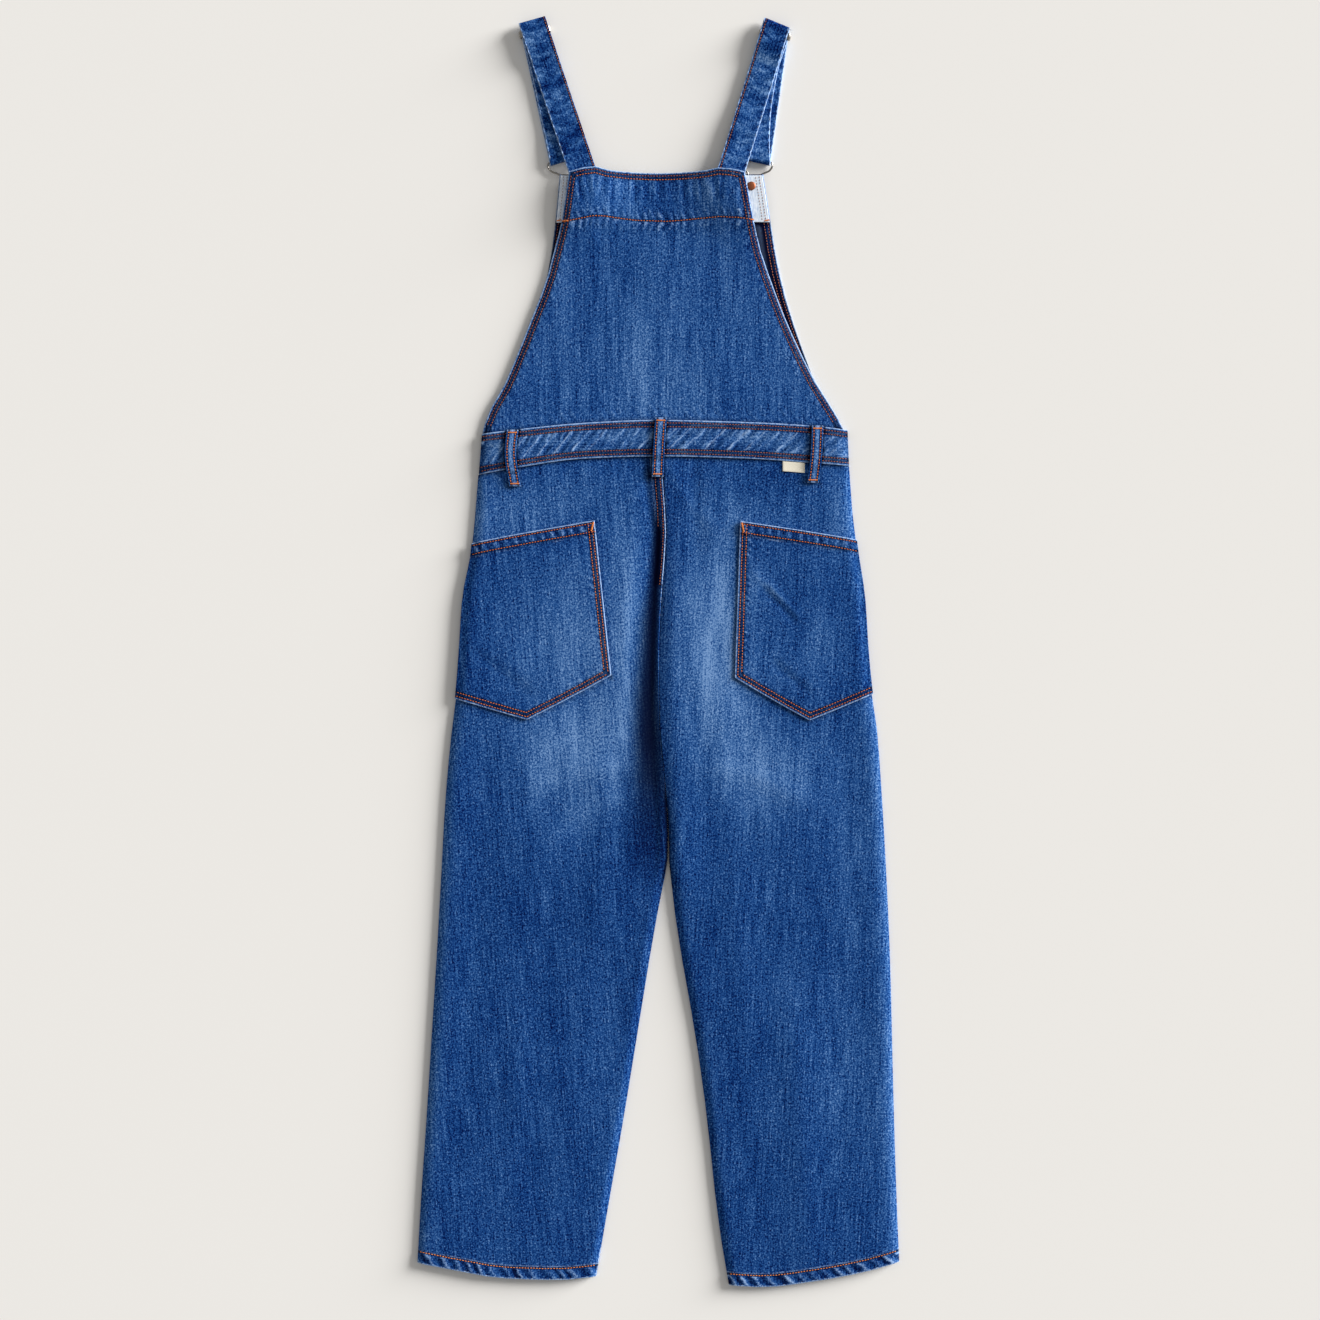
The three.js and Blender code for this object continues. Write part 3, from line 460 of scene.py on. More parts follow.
def rounded(bm, sharpness, rounding):
    # Rounds the edges that turn by more than this angle in radians
    sharp = [e for e in bm.edges if len(e.link_faces) == 2 and e.calc_face_angle() > sharpness]
    bmesh.ops.bevel(
        bm, geom=sharp, offset=rounding * mm, segments=2, profile=0.5, affect="EDGES", material=-1
    )


def addObject(name, bm, materialNames):
    mesh = bpy.data.meshes.new(name)
    bm.to_mesh(mesh)
    bm.free()
    for key in materialNames:
        mesh.materials.append(materials[key])
    mesh.polygons.foreach_set("use_smooth", [True] * len(mesh.polygons))
    piece = bpy.data.objects.new(name, mesh)
    bpy.context.scene.collection.objects.link(piece)
    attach(piece, "root")
    return piece


def paintAttributes(piece, values):
    for name, array in values.items():
        array = np.asarray(array, dtype=np.float32)
        kind, key = ("FLOAT_VECTOR", "vector") if array.ndim == 2 else ("FLOAT", "value")
        layer = piece.data.attributes.new(name, kind, "POINT")
        layer.data.foreach_set(key, array.T.ravel())


def vertexPlaces(piece, what="co"):
    places = np.zeros(len(piece.data.vertices) * 3)
    piece.data.vertices.foreach_get(what, places)
    return places.reshape(-1, 3) / mm


def grainMap(piece, across, along):
    # A UV map in millimetres: first axis across the warp, second along it
    layer = piece.data.uv_layers.new(name="grain")
    corners = np.zeros(len(piece.data.loops), dtype=int)
    piece.data.loops.foreach_get("vertex_index", corners)
    values = np.stack([across[corners], along[corners]], axis=-1)
    layer.data.foreach_set("uv", values.ravel().astype(np.float32))


# Effects on cloth: each adds to the rise of the surface (mm) and to its colour


def blankLook(x):
    return {key: np.zeros_like(x, dtype=float) for key in ("rise", "wash", "worn", "shade", "weft")}


def bell(value, middle, width):
    return np.exp(-(((value - middle) / width) ** 2))


def addCrease(look, x, y, crease):
    # A soft ridge (plus height) or trough (minus) along a bowed line that fades at both ends; its darkening
    # is painted shade
    x0, y0, x1, y1, size, height, wash, shade, bow = crease
    length = math.hypot(x1 - x0, y1 - y0)
    along = ((x - x0) * (x1 - x0) + (y - y0) * (y1 - y0)) / length
    across = ((x - x0) * (y1 - y0) - (y - y0) * (x1 - x0)) / length
    share = np.clip(along / length, 0, 1)
    across = across - bow * 4 * share * (1 - share)
    width = size * (1 + 0.25 * waver(along, length / 3, int(length) + 3))
    past = np.maximum(0, np.maximum(-along, along - length)) / (2 * size)
    fall = np.exp(-((across / width) ** 2) - past**2)
    look["rise"] += height * fall
    look["wash"] += wash * fall
    # Painted shade along the crease
    look["shade"] += shade * fall


def addPatch(look, x, y, patch):
    # A rubbed, lighter area (or a darker one): an oval that fades out, streaked along the warp
    middleX, middleY, across, along, turn, wash = patch
    angle = math.radians(turn)
    dx, dy = x - middleX, y - middleY
    a = (dx * math.cos(angle) + dy * math.sin(angle)) / across
    b = (-dx * math.sin(angle) + dy * math.cos(angle)) / along
    look["wash"] += wash * np.exp(-(a * a + b * b)) * (1 + 0.4 * cloudy(x, y * 0.1, 7, 3))


def addPleats(look, away, along, seed, between, pitch, height, slant=0, wash=0.2, worn=0.0, dark=0.0,
              sharp=0.13, broken=0.4, wander=0.12):
    # Uneven tucks drawn up beside stitches: each has a pale, rubbed ridge and a dark hollow, darkened with
    # painted shade
    low, high = between
    near = ease(away, low - 1, low + 1) * (1 - ease(away, high - 1.5, high + 1.5))
    drift = (along + slant * (away - low)) / pitch
    drift = drift + 0.32 * waver(drift, 1.6, seed) + wander * cloudy(along, away, 6, seed + 7)
    phase = drift - np.floor(drift)
    ridge, hollow = bell(phase, 0.3, sharp), bell(phase, 0.68, 0.2)
    strength = near * (0.7 + 0.3 * waver(np.floor(drift), 1, seed + 1))
    strength = strength * (1 - broken * ease(cloudy(along, away, 7, seed + 8), -0.3, 0.5))
    look["rise"] += height * strength * (ridge - hollow)
    look["wash"] += wash * strength * (ridge - 0.6 * hollow)
    look["worn"] += worn * strength * ridge
    # Painted shade in the hollow
    look["shade"] += dark * strength * hollow


def addContactShadow(look, x, y, lines, reach=2.2, depth=0.5):
    # Painted shadow: the dark line that a layer lying on the cloth casts along its edge
    for line in lines:
        look["shade"] += depth * bell(distanceTo(x, y, line)[0], 0, reach)


# Stitching: dashes of 0.9 mm thread, where the real one is 0.6 mm, too fine to show
stitch = {"length": 2.2, "gap": 0.9, "width": 0.44, "height": 0.34}
threads = ["rust", "brown", "orange", "tan"]


def besideLine(line, inset, start=0.0, end=None):
    # A line shifted to the inner side of an edge
    total = lineLengths(line)[-1]
    end = total if end is None else end
    shares = np.linspace(start, end, max(4, int((end - start) / 2)) + 1) / total
    base = pointsOn(line, shares)
    before, after = (pointsOn(line, np.clip(shares + reach / total, 0, 1)) for reach in (-4, 4))
    run = after - before
    run /= np.linalg.norm(run, axis=1)[:, None]
    return base + np.stack([run[:, 1], -run[:, 0]], axis=-1) * inset


def stretched(line, extra=6.0):
    # A line with both ends drawn out straight
    first, last = line[0] - line[1], line[-1] - line[-2]
    first, last = first / np.hypot(*first), last / np.hypot(*last)
    return np.array([line[0] + first * extra, *line, line[-1] + last * extra])


def clipped(line, limits, edges):
    # Drops the points of a line that lie too close to other edges
    keep = np.ones(len(line), dtype=bool)
    for name, least in limits.items():
        keep &= distanceTo(line[:, 0], line[:, 1], edges[name])[0] >= least
    return line[keep]


class Sewing:
    # The stitches of one panel, gathered in one mesh
    def __init__(self, name, surface=None):
        self.name = name
        self.surface = surface
        self.bm = bmesh.new()
        self.random = random.Random(sum(ord(letter) for letter in name))

    def dash(self, start, end, up, thread, sizes):
        run = end - start
        if run.length < 0.3 * mm:
            return
        run.normalize()
        side = up.cross(run).normalized()
        up = run.cross(side)
        wander = self.random.uniform(-0.12, 0.12) * mm
        middle = (start + end) / 2 + side * wander + up * 0.1 * mm
        place = Matrix((run, side, up)).transposed().to_4x4()
        place.translation = middle
        stretch = self.random.uniform(0.92, 1.06) * sizes["length"] / 2
        scale = Matrix.Diagonal((stretch * mm, sizes["width"] * mm, sizes["height"] * mm, 1))
        made = bmesh.ops.create_uvsphere(
            self.bm, u_segments=6, v_segments=4, radius=1,
            matrix=place @ scale @ Matrix.Rotation(math.radians(90), 4, "Y"),
        )
        for face in {f for v in made["verts"] for f in v.link_faces}:
            face.material_index = threads.index(thread)

    def onCloth(self, point):
        origin = Vector((point[0] * mm, point[1] * mm, 1))
        return self.surface.ray_cast(origin, Vector((0, 0, -1)))

    def row(self, line, thread, sizes=stitch):
        if len(line) < 2:
            return
        total = lineLengths(line)[-1]
        pitch = sizes["length"] + sizes["gap"]
        count = max(1, int(total / pitch))
        half = sizes["length"] / 2 / total
        for k in range(count):
            share = (k + 0.5) / count
            ends = [self.onCloth(point) for point in pointsOn(line, [share - half, share + half])]
            if ends[0][0] and ends[1][0]:
                self.dash(ends[0][0], ends[1][0], (ends[0][1] + ends[1][1]).normalized(), thread, sizes)

    def bartack(self, centre, run, length, width, thread="orange"):
        # A dense zigzag: short wraps across its length
        run = np.array(run, dtype=float) / np.hypot(*run)
        across = np.array([run[1], -run[0]])
        wraps = max(3, int(length / 0.75))
        sizes = {"length": width, "gap": 0.0, "width": 0.45, "height": 0.55}
        for k in range(wraps):
            middle = np.array(centre) + run * (k / (wraps - 1) - 0.5) * length
            lean = run * (0.3 if k % 2 else -0.3)
            ends = [middle - across * width / 2 - lean, middle + across * width / 2 + lean]
            self.row(np.array(ends), thread, sizes)

    def finish(self):
        print("sewn:", self.name, len(self.bm.verts) // 20, "stitches")
        addObject(self.name, self.bm, threads)


# A flat panel of cloth laid over its own node

far = 9.0  # mm, past every stitched row
unworn = 30.0  # mm, past every rubbed rim
noRow = -999  # stands for the second row where there is only one
# Its "dark" is painted shade on the cloth between two rows of stitches
sunk = {"dark": 0.78, "depth": 0.22, "width": 0.9}  # the cloth between two rows of stitches, and under each


def looksOn(panel, edges, dress, x, y):
    near = {name: distanceTo(x, y, line) for name, line in edges.items()}
    away, along = ({name: pair[k] for name, pair in near.items()} for k in (0, 1))
    look = blankLook(x)
    for patch in panel.get("patches", ()):
        addPatch(look, x, y, patch)
    for crease in panel.get("creases", ()):
        addCrease(look, x, y, crease)
    if dress:
        dress(look, x, y, away, along)
    # Distance to the two stitched rows beside the nearest sewn edge, and to the rim worn pale
    first, second, best = np.full(x.shape, far), np.full(x.shape, far), np.full(x.shape, 1e9)
    for name, (a, b) in panel.get("rows", {}).items():
        closer = (away[name] < best) & (y > panel.get("rowsAbove", {}).get(name, -1000))
        best = np.where(closer, away[name], best)
        first = np.where(closer, away[name] - a, first)
        second = np.where(closer, away[name] - b, second)
    # Painted shade on the cloth between two rows of stitches
    channel = ease(first, -1.9, -0.7) * (1 - ease(second, 0.7, 2.2)) * (np.abs(first - second) < 7)
    look["shade"] = look["shade"] + sunk["dark"] * channel * (0.8 + 0.2 * cloudy(x, y, 5, 17))
    look["rows"] = np.stack(
        [np.clip(first, -far, far), np.clip(second, -far, far), look.pop("line", np.full(x.shape, far))]
    )
    look["rise"] -= sunk["depth"] * (bell(first, 0, sunk["width"]) + bell(second, 0, sunk["width"]))
    look["edge"] = np.min([np.full(x.shape, unworn), *(away[name] for name in panel.get("worn", ()))], axis=0)
    if "edgeExtra" in panel:
        look["edge"] = look["edge"] + panel["edgeExtra"](y)
    return look


def laid(panel, dress=None):
    # dress(look, x, y, away, along) adds to the look; away and along are measured to each named edge
    edges = outlines[panel["node"]]
    top, right, bottom, left = edges.values()
    bottom, left = bottom[::-1], left[::-1]
    width = (lineLengths(top)[-1] + lineLengths(bottom)[-1]) / 2
    length = (lineLengths(left)[-1] + lineLengths(right)[-1]) / 2
    us = spaced(width, panel["step"][0], *panel.get("acrossLines", ((), ())))
    vs = spaced(length, panel["step"][1], *panel.get("alongLines", ((), ())))
    lines = (top, right, bottom, left)
    flat = coonsPatch(lines, us, vs)
    margin = 0.4  # mm; heights are read just inside the outline
    within = [np.clip(s, margin / size, 1 - margin / size) for s, size in ((us, width), (vs, length))]
    inset = coonsPatch(lines, *within)
    z = softened(heightsOver(panel["node"], inset[..., 0], inset[..., 1]), panel.get("soften", 4))
    z = z + looksOn(panel, edges, dress, flat[..., 0], flat[..., 1])["rise"]
    bm = gridMesh(np.concatenate([flat, z[..., None]], axis=-1))
    surface = BVHTree.FromBMesh(bm)
    thicken(bm, panel["thickness"], panel.get("rounding", 0.5))
    piece = addObject(panel["name"], bm, [panel.get("material", "denim")])
    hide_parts(panel["node"])
    x, y, _ = vertexPlaces(piece).T
    look = looksOn(panel, edges, dress, x, y)
    look["wash"] += panel.get("wash", 0.35)
    look["shade"] = np.clip(look["shade"], 0, 0.995)
    del look["rise"]
    if panel.get("wrongSideUp"):
        under = vertexPlaces(piece, "normal")[:, 2] < 0  # its right side faces the floor
        look["weft"][under] = 0
        look["shade"][under] *= 0.3
    paintAttributes(piece, look)
    turn, shift = math.radians(panel.get("grain", 0)), panel.get("shift", 0)
    c, s = math.cos(turn), math.sin(turn)
    grainMap(piece, c * x + s * y + shift, -s * x + c * y + shift)
    print("panel:", panel["name"], len(us), "by", len(vs))
    return surface


# Corners and edges of every panel, in millimetres, clockwise from the top left
around = "top right bottom left"
outlineCorners = {
    "front_leg_left": ([(-196, 192), (2.4, 212), (-68, -688), (-264.6, -673)], "waist inner hem side"),
    "front_leg_right": ([(2.9, 212), (210, 201.7), (265.2, -672), (77, -697.5)], "waist side hem inner"),
    "back_leg_left": ([(-196, 192), (2.4, 220.3), (-68, -688), (-264.6, -673)], "waist inner hem side"),
    "back_leg_right": ([(2.9, 220.3), (210, 201.7), (265.2, -672), (77, -697.5)], "waist side hem inner"),
    "waistband_front": ([(-193.5, 237), (208.3, 241), (210, 202), (-197, 192.5)], "upper right lower left"),
    "waistband_back": ([(-193.5, 237), (208.3, 241), (210, 202), (-197, 192.5)], "upper right lower left"),
    "front_bib": ([(-107.8, 522), (115.5, 522), (202, 242), (-192, 238)], "top right lower left"),
    "front_bib_facing": ([(-106.7, 520.6), (114.4, 520.6), (122, 470), (-111, 470)], "top right lower left"),
    "back_bib": ([(-97.5, 524.4), (95.5, 524.4), (203.8, 241), (-193, 236)], "top right lower left"),
    "pocket_left": ([(-205, 117), (-69.7, 142.2), (-51.3, -27.8), (-222, -53.4)], "top inner bottom outer"),
    "pocket_right": ([(90.1, 141.5), (219.9, 120.9), (236, -48.4), (84.2, -30.4)], "top outer bottom inner"),
    "belt_loop_left": ([(-165.8, 241.5), (-153.2, 241.5), (-150.7, 179.5), (-163.3, 179.5)], around),
    "belt_loop_centre": ([(-3.1, 254.8), (9.5, 254.8), (5.8, 190), (-6.8, 190)], around),
    "belt_loop_right": ([(168.7, 246), (181.3, 246), (176.3, 183.5), (163.7, 183.5)], around),
    "label_tab": ([(136.8, 206), (161, 205), (161, 194.4), (136.8, 196)], around),
}
outlines = {
    node: panelEdges(node, corners, names.split()) for node, (corners, names) in outlineCorners.items()
}

# Patches: middle x and y, reach across and along, turn in degrees, how much lighter.
# Creases: from x, y to x, y, width, height, how much lighter, how much darker with painted shade, bow. All in
# millimetres.

bothSides = ("left", "right")


# Front of the garment: it lies underneath, flat on the floor, and is rubbed at the thighs and knees

hemRows = (12.4, noRow)
hemPleats = {"between": (1, 12), "pitch": 14.8, "slant": -0.75, "height": 0.4, "wash": 0.5, "worn": 0.75,
             "dark": 0.8, "sharp": 0.15, "broken": 0.15}
hemLines = (0.8, 1.8, 3, 4.4, 6, 7.6, 9.2, 10.6, 11.6, 12.4, 13.2, 14.4, 16, 18)
bandRows = (3.3, 7.4)
bandLines = (1.3, 2.2, 3.3, 4.4, 6, 7.4)
frontLegs = {"left": {"grain": 4.4, "shift": 700}, "right": {"grain": -2.5, "shift": 900}}
frontPatches = (
    (-100, 20, 44, 130, 0, 0.3), (-135, -330, 50, 90, 0, 0.18),
    (100, 10, 44, 130, 0, 0.3), (145, -340, 50, 90, 0, 0.18),
)


def frontDress(look, x, y, away, along):
    if "hem" in away:
        addPleats(look, away["hem"], along["hem"], 20, **hemPleats)
    else:
        for side in ("upper", "lower"):
            addPleats(look, away[side], along[side], 24, (9, 20), 13, 0, slant=0.8, wash=0.3, worn=0.4)
    look["rise"] *= 0


for which, settings in frontLegs.items():
    laid({
        "name": f"frontLeg{which.capitalize()}", "node": f"front_leg_{which}", "thickness": 1.7,
        "step": (5, 9), "restsOn": [], "worn": ["hem"], "rows": {"hem": hemRows},
        "alongLines": ((), hemLines), "patches": frontPatches, **settings,
    }, frontDress)
laid({
    "name": "waistbandFront", "node": "waistband_front", "thickness": 2.3, "step": (2.2, 2.2), "grain": 90,
    "restsOn": [], "shift": 300, "worn": ["upper", "lower"], "rows": {"upper": bandRows, "lower": bandRows},
    "alongLines": (bandLines, bandLines), "patches": frontPatches,
}, frontDress)

frontBibLines = (1, 2.2, 3.2, 4.4, 6, 7.4, 9, 11, 13)
frontBib = {
    "name": "frontBib", "node": "front_bib", "thickness": 1.6, "step": (4, 4), "wash": 0.3, "shift": 120,
    "restsOn": ["bib_button_left"], "wrongSideUp": True, "worn": ["left", "right"],
    "rows": {"left": (3.2, 7.4), "right": (3.2, 7.4)}, "acrossLines": (frontBibLines, frontBibLines),
}
bibSides = [outlines["back_bib"][side] for side in bothSides]


def frontBibDress(look, x, y, away, along):
    # A dark turned hem runs down both sides; past it the wrong side of the cloth shows
    side = np.minimum(away["left"], away["right"])
    look["weft"] += 0.4 * ease(side, 9.2, 10.4)
    # Painted shade: a dark line where the hem ends
    look["shade"] += 0.75 * bell(side, 9.6, 1.2)
    # Painted shadows of the back bib's sides and of the facing's lower edge
    addContactShadow(look, x, y, bibSides, 8, 0.8)
    addContactShadow(look, x, y, [outlines["front_bib_facing"]["lower"]], 3, 0.8)


frontBibTop = laid(frontBib, frontBibDress)

facingLines = (1, 2.5, 4.5, 7, 10)
facing = {
    "name": "frontBibFacing", "node": "front_bib_facing", "thickness": 1.2, "step": (4, 4),
    "restsOn": ["front_bib"], "material": "wrongSide", "slot": "denim_wrong_side",
    "acrossLines": (facingLines, facingLines), "alongLines": ((1, 3), (1, 3)), "stitched": (3.6, 7.4),
}


def facingDress(look, x, y, away, along):
    for side in bothSides:
        addPleats(look, away[side], along[side], 5, (2, 9), 8, 0.12)
    # Painted shadow of the back bib's sides
    addContactShadow(look, x, y, bibSides, 3.5, 0.4)


facingTop = laid(facing, facingDress)
print("stage: front laid out")


# Back legs

seamRows = (2.7, 8.0)
doubleRows = (3.2, 7.4)
underBandLines = (8, 10, 12.5, 15, 18)
legs = {
    "left": {
        "grain": 4.4, "shift": 0, "worn": ["hem", "inner"], "rows": {"hem": hemRows, "inner": seamRows},
        "rowsAbove": {"inner": 70}, "seed": 10,
        "edgeExtra": lambda y: np.where(y < -655, 0, 0.3 + 2.4 * (1 - ease(y, -50, 110))),
        "acrossLines": ((1.2, 2.5, 4), (0.8, 1.8, 2.7, 3.6, 4.8, 6, 7, 8, 9, 10.2, 11.4, 12.8)),
        "patches": (
            (-68, -116, 56, 84, -14, 0.26), (-118, -102, 66, 60, 0, 0.2), (-34, 30, 26, 120, 0, 0.32),
            # The darker patch at (-16, -205) is painted shade beside the deep fold
            (-163, 148, 60, 38, 0, 0.19), (-88, 166, 40, 26, 0, 0.16), (-16, -205, 24, 62, 0, -0.16),
            (-60, -560, 18, 160, 0, 0.08),
        ),
        "creases": (
            (-11, 205, -9, 150, 6, -0.7, 0, 0.08, 0), (-14, 186, -27, 168, 3, 0.35, 0.13, 0, 0),
            (-34, -130, -130, -150, 9, 0.5, 0.07, 0, 8), (-30, -160, -110, -205, 10, 0.5, 0.06, 0, 8),
            (-150, -420, -160, -640, 16, 0.6, 0.02, 0, 0),
        ),
    },
    "right": {
        "grain": -2.5, "shift": 400, "worn": ["hem"], "rows": {"hem": hemRows}, "seed": 30,
        "acrossLines": ((1, 2, 3.4, 5, 7, 9), (1.2, 2.5, 4)),
        "patches": (
            (62, 34, 38, 98, 0, 0.46), (84, -108, 46, 96, 14, 0.24), (146, -134, 48, 44, 0, 0.2),
            (205, 145, 30, 60, 0, 0.16), (222, -180, 34, 90, 0, 0.1), (165, -400, 60, 200, 0, 0.04),
            (120, 145, 60, 30, 0, 0.12), (216, -400, 30, 160, 0, 0.07), (40, -230, 20, 70, 0, 0.03),
        ),
        "creases": (
            (40, 190, 44, 120, 9, -0.5, 0, 0.08, 0), (16, 196, 58, 140, 7, 0.4, 0.06, 0, 6),
            (50, -130, 150, -160, 10, 0.5, 0.06, 0, -8), (150, -430, 165, -640, 18, 0.6, 0.02, 0, 0),
        ),
    },
}
# The deep fold in which the legs meet, down the centre seam to where they part, darkened with painted shade.
# Each row: height, where its bottom lies, how dark its painted shade is, and how far the painted shade
# reaches to the left and to the right, in millimetres
legFold = np.array([
    (205, -10.5, 0.4, 3, 3), (190, -10, 0.75, 3, 3), (178, -9.5, 0.45, 4, 3), (160, -7, 0.35, 3, 3),
    (146, -4.5, 0.55, 3, 3), (132, -1.6, 0.86, 5, 4.5),
    (77, -2.2, 0.93, 9, 5), (33, -3.9, 0.96, 16, 8), (-11, -5.5, 0.96, 18, 10), (-55, -8.8, 0.97, 20, 14),
    (-99, -8.3, 0.98, 22, 20), (-143, -5.5, 0.92, 26, 20), (-187, -2, 0.66, 30, 20), (-231, 0, 0.4, 34, 20),
    (-270, 0, 0.15, 34, 20),
])


def legDress(which, seed):
    pocket = outlines[f"pocket_{which}"]
    covers = [pocket["inner"], pocket["bottom"], outlines["waistband_back"]["lower"]]
    loops = [outlines[f"belt_loop_{loop}"] for loop in (which, "centre")]
    loopSides = [loop[side] for loop in loops for side in ("left", "right", "bottom")]

    def dress(look, x, y, away, along):
        hem, inner, side = away["hem"], away["inner"], away["side"]
        addPleats(look, hem, along["hem"], seed, **hemPleats)
        addPleats(look, hem, along["hem"], seed + 2, (13.5, 19), 9, 0.15, slant=-0.75, wash=0.1)
        addPleats(look, away["waist"], along["waist"], seed + 4, (10, 26), 15, 0.25, slant=0.4, wash=0.08)
        # Painted shadows of the pocket, the waistband and the belt loops
        addContactShadow(look, x, y, covers)
        addContactShadow(look, x, y, loopSides, 2.6, 0.4)
        billows = 0.45 * cloudy(x, y, 70, seed + 5) + 0.15 * cloudy(x, y, 24, seed + 6)
        look["rise"] += ease(side, 3, 25) * billows
        # The turned hem stands proud of the leg, with a pale lip above the stitches
        look["rise"] -= 0.35 * bell(hem, 13.4, 1.3)
        look["worn"] += 0.6 * bell(hem, 14.4, 0.9) * (0.8 + 0.2 * waver(along["hem"], 5, seed))
        # Painted shade in the deep fold down the centre seam, by the table above
        bottom, depth, toLeft, toRight = (np.interp(-y, -legFold[:, 0], legFold[:, k]) for k in range(1, 5))
        past = x - bottom
        fold = np.where(past < 0, np.exp(-(np.abs(past / toLeft) ** 3)), bell(past, 0, toRight))
        if which == "left":
            kept = 1 - 0.85 * bell(inner, 0, 1.6) * ease(y, -60, 0)  # the seam's edge stays pale
            look["shade"] += depth * fold * kept
            look["worn"] += 0.6 * bell(inner, 11.3, 0.8) * ease(y, 135, 150)
            # Lighter along the outer side edge
            look["wash"] += 0.17 * bell(side, 0, 14)
        else:
            # Painted shadow of the felled seam along the right leg's inner edge
            look["shade"] += 0.5 * ease(y, -20, 60) * bell(inner, 0, 2.2)
            # Painted shade beside the fold, along the inner edge
            look["shade"] += 0.1 * bell(inner, 0, 12) * ease(y, -230, -100)
            # Painted highlight along the outer side edge, which faces the light, lower down the leg
            look["wash"] += 0.2 * bell(side, 0, 14) * (1 - ease(y, -60, 20))
        # Painted shade: a dark line along the inner edge where the legs overlap, down to where they part
        look["shade"] += 0.85 * ease(-y, 135, 185) * bell(inner, 0, 2.2) * (1 - ease(-y, 240, 275))
        look["rise"] -= 0.8 * depth * bell(past, 0, 8)

    return dress


legTops = {}
for which, settings in legs.items():
    legTops[which] = laid({
        "name": f"backLeg{which.capitalize()}", "node": f"back_leg_{which}", "thickness": 1.7,
        "step": (2.6, 5.5), "restsOn": [f"front_leg_{which}"], "soften": 5,
        "alongLines": (underBandLines, hemLines), **settings,
    }, legDress(which, settings["seed"]))
print("stage: legs made")


# Back bib and waistband

nearRows = (0.8, 1.8, 2.6, 3.2, 3.9, 5, 6.2, 7.1, 7.9, 9)
bibRows = (3.2, 7.1)
backBib = {
    "name": "backBib", "node": "back_bib", "thickness": 1.6, "step": (1.8, 3.2), "wash": 0.46, "shift": 60,
    "soften": 5, "restsOn": ["front_bib"], "worn": ["top", "left", "right"],
    "rows": {"top": bibRows, "left": bibRows, "right": bibRows},
    "acrossLines": (nearRows, nearRows), "alongLines": (nearRows, (4, 8, 11, 14)),
    "patches": ((-5, 290, 45, 70, 0, 0.14), (-5, 500, 20, 30, 0, -0.08), (-75, 400, 25, 90, 0, -0.06)),
}
# The row of stitches that holds the bib's facing, drawn up unevenly
facingLine = np.array([
    (-106, 469), (-88, 472.5), (-72, 476), (-60, 476), (-42, 473.6), (-24, 471.5), (11, 470.5), (30, 472),
    (46, 473.5), (68, 475.3), (88, 474), (108, 471.5),
])


def bibDress(look, x, y, away, along):
    for side, seed, slant in (("left", 50, 0.8), ("right", 60, -0.8)):
        addPleats(look, away[side], along[side], seed, (7.5, 15), 10, 0.22, slant=slant, wash=0.3, worn=0.2,
                  sharp=0.18)
    addPleats(look, away["top"], along["top"], 70, (8, 34), 11.5, 0.35, wash=0.26, worn=0.16, dark=0.14,
              sharp=0.17, broken=0.6)
    look["wash"] += 0.08 * cloudy(x, y * 0.3, 5, 72) * ease(y, 462, 472) * (1 - ease(y, 514, 520))
    look["wash"] += 0.07 * cloudy(x, y * 0.1, 7, 73)
    line, run = distanceTo(x, y, facingLine)
    signed = np.where(y < np.interp(x, facingLine[:, 0], facingLine[:, 1]), -line, line)
    look["line"] = np.clip(signed, -far, far)
    addPleats(look, line, run, 80, (1.5, 10), 8.5, 0.35, slant=0.5, wash=0.34, worn=0.5, dark=0.25, sharp=0.2)
    look["worn"] += 0.5 * bell(signed, -2.3, 1.0) * (0.5 + 0.5 * waver(run, 6, 81))
    addPleats(look, away["lower"], along["lower"], 85, (10, 24), 12, 0.25, slant=-0.7, wash=0.16, worn=0.25,
              sharp=0.1, broken=0.7)
    # Painted shadow of the waistband's upper edge
    addContactShadow(look, x, y, [outlines["waistband_back"]["upper"]], 2.4, 0.65)
    inside = ease(np.minimum(away["left"], away["right"]), 3, 20)
    look["rise"] += inside * (0.4 * cloudy(x, y, 60, 90) + 0.12 * cloudy(x, y, 22, 91))
    look["rise"] -= 0.35 * bell(line, 0, 1.6)


bibTop = laid(backBib, bibDress)

waistband = {
    "name": "waistbandBack", "node": "waistband_back", "thickness": 2.2, "step": (1.15, 1.15), "grain": 90,
    "wash": 0.56, "restsOn": ["back_leg_left", "back_leg_right", "back_bib"], "worn": ["upper", "lower"],
    "shift": 200, "soften": 2, "rows": {"upper": bandRows, "lower": bandRows},
    "acrossLines": ((0.6, 1.3), (0.6, 1.3)), "alongLines": ((0.6, *bandLines), (0.6, *bandLines)),
}


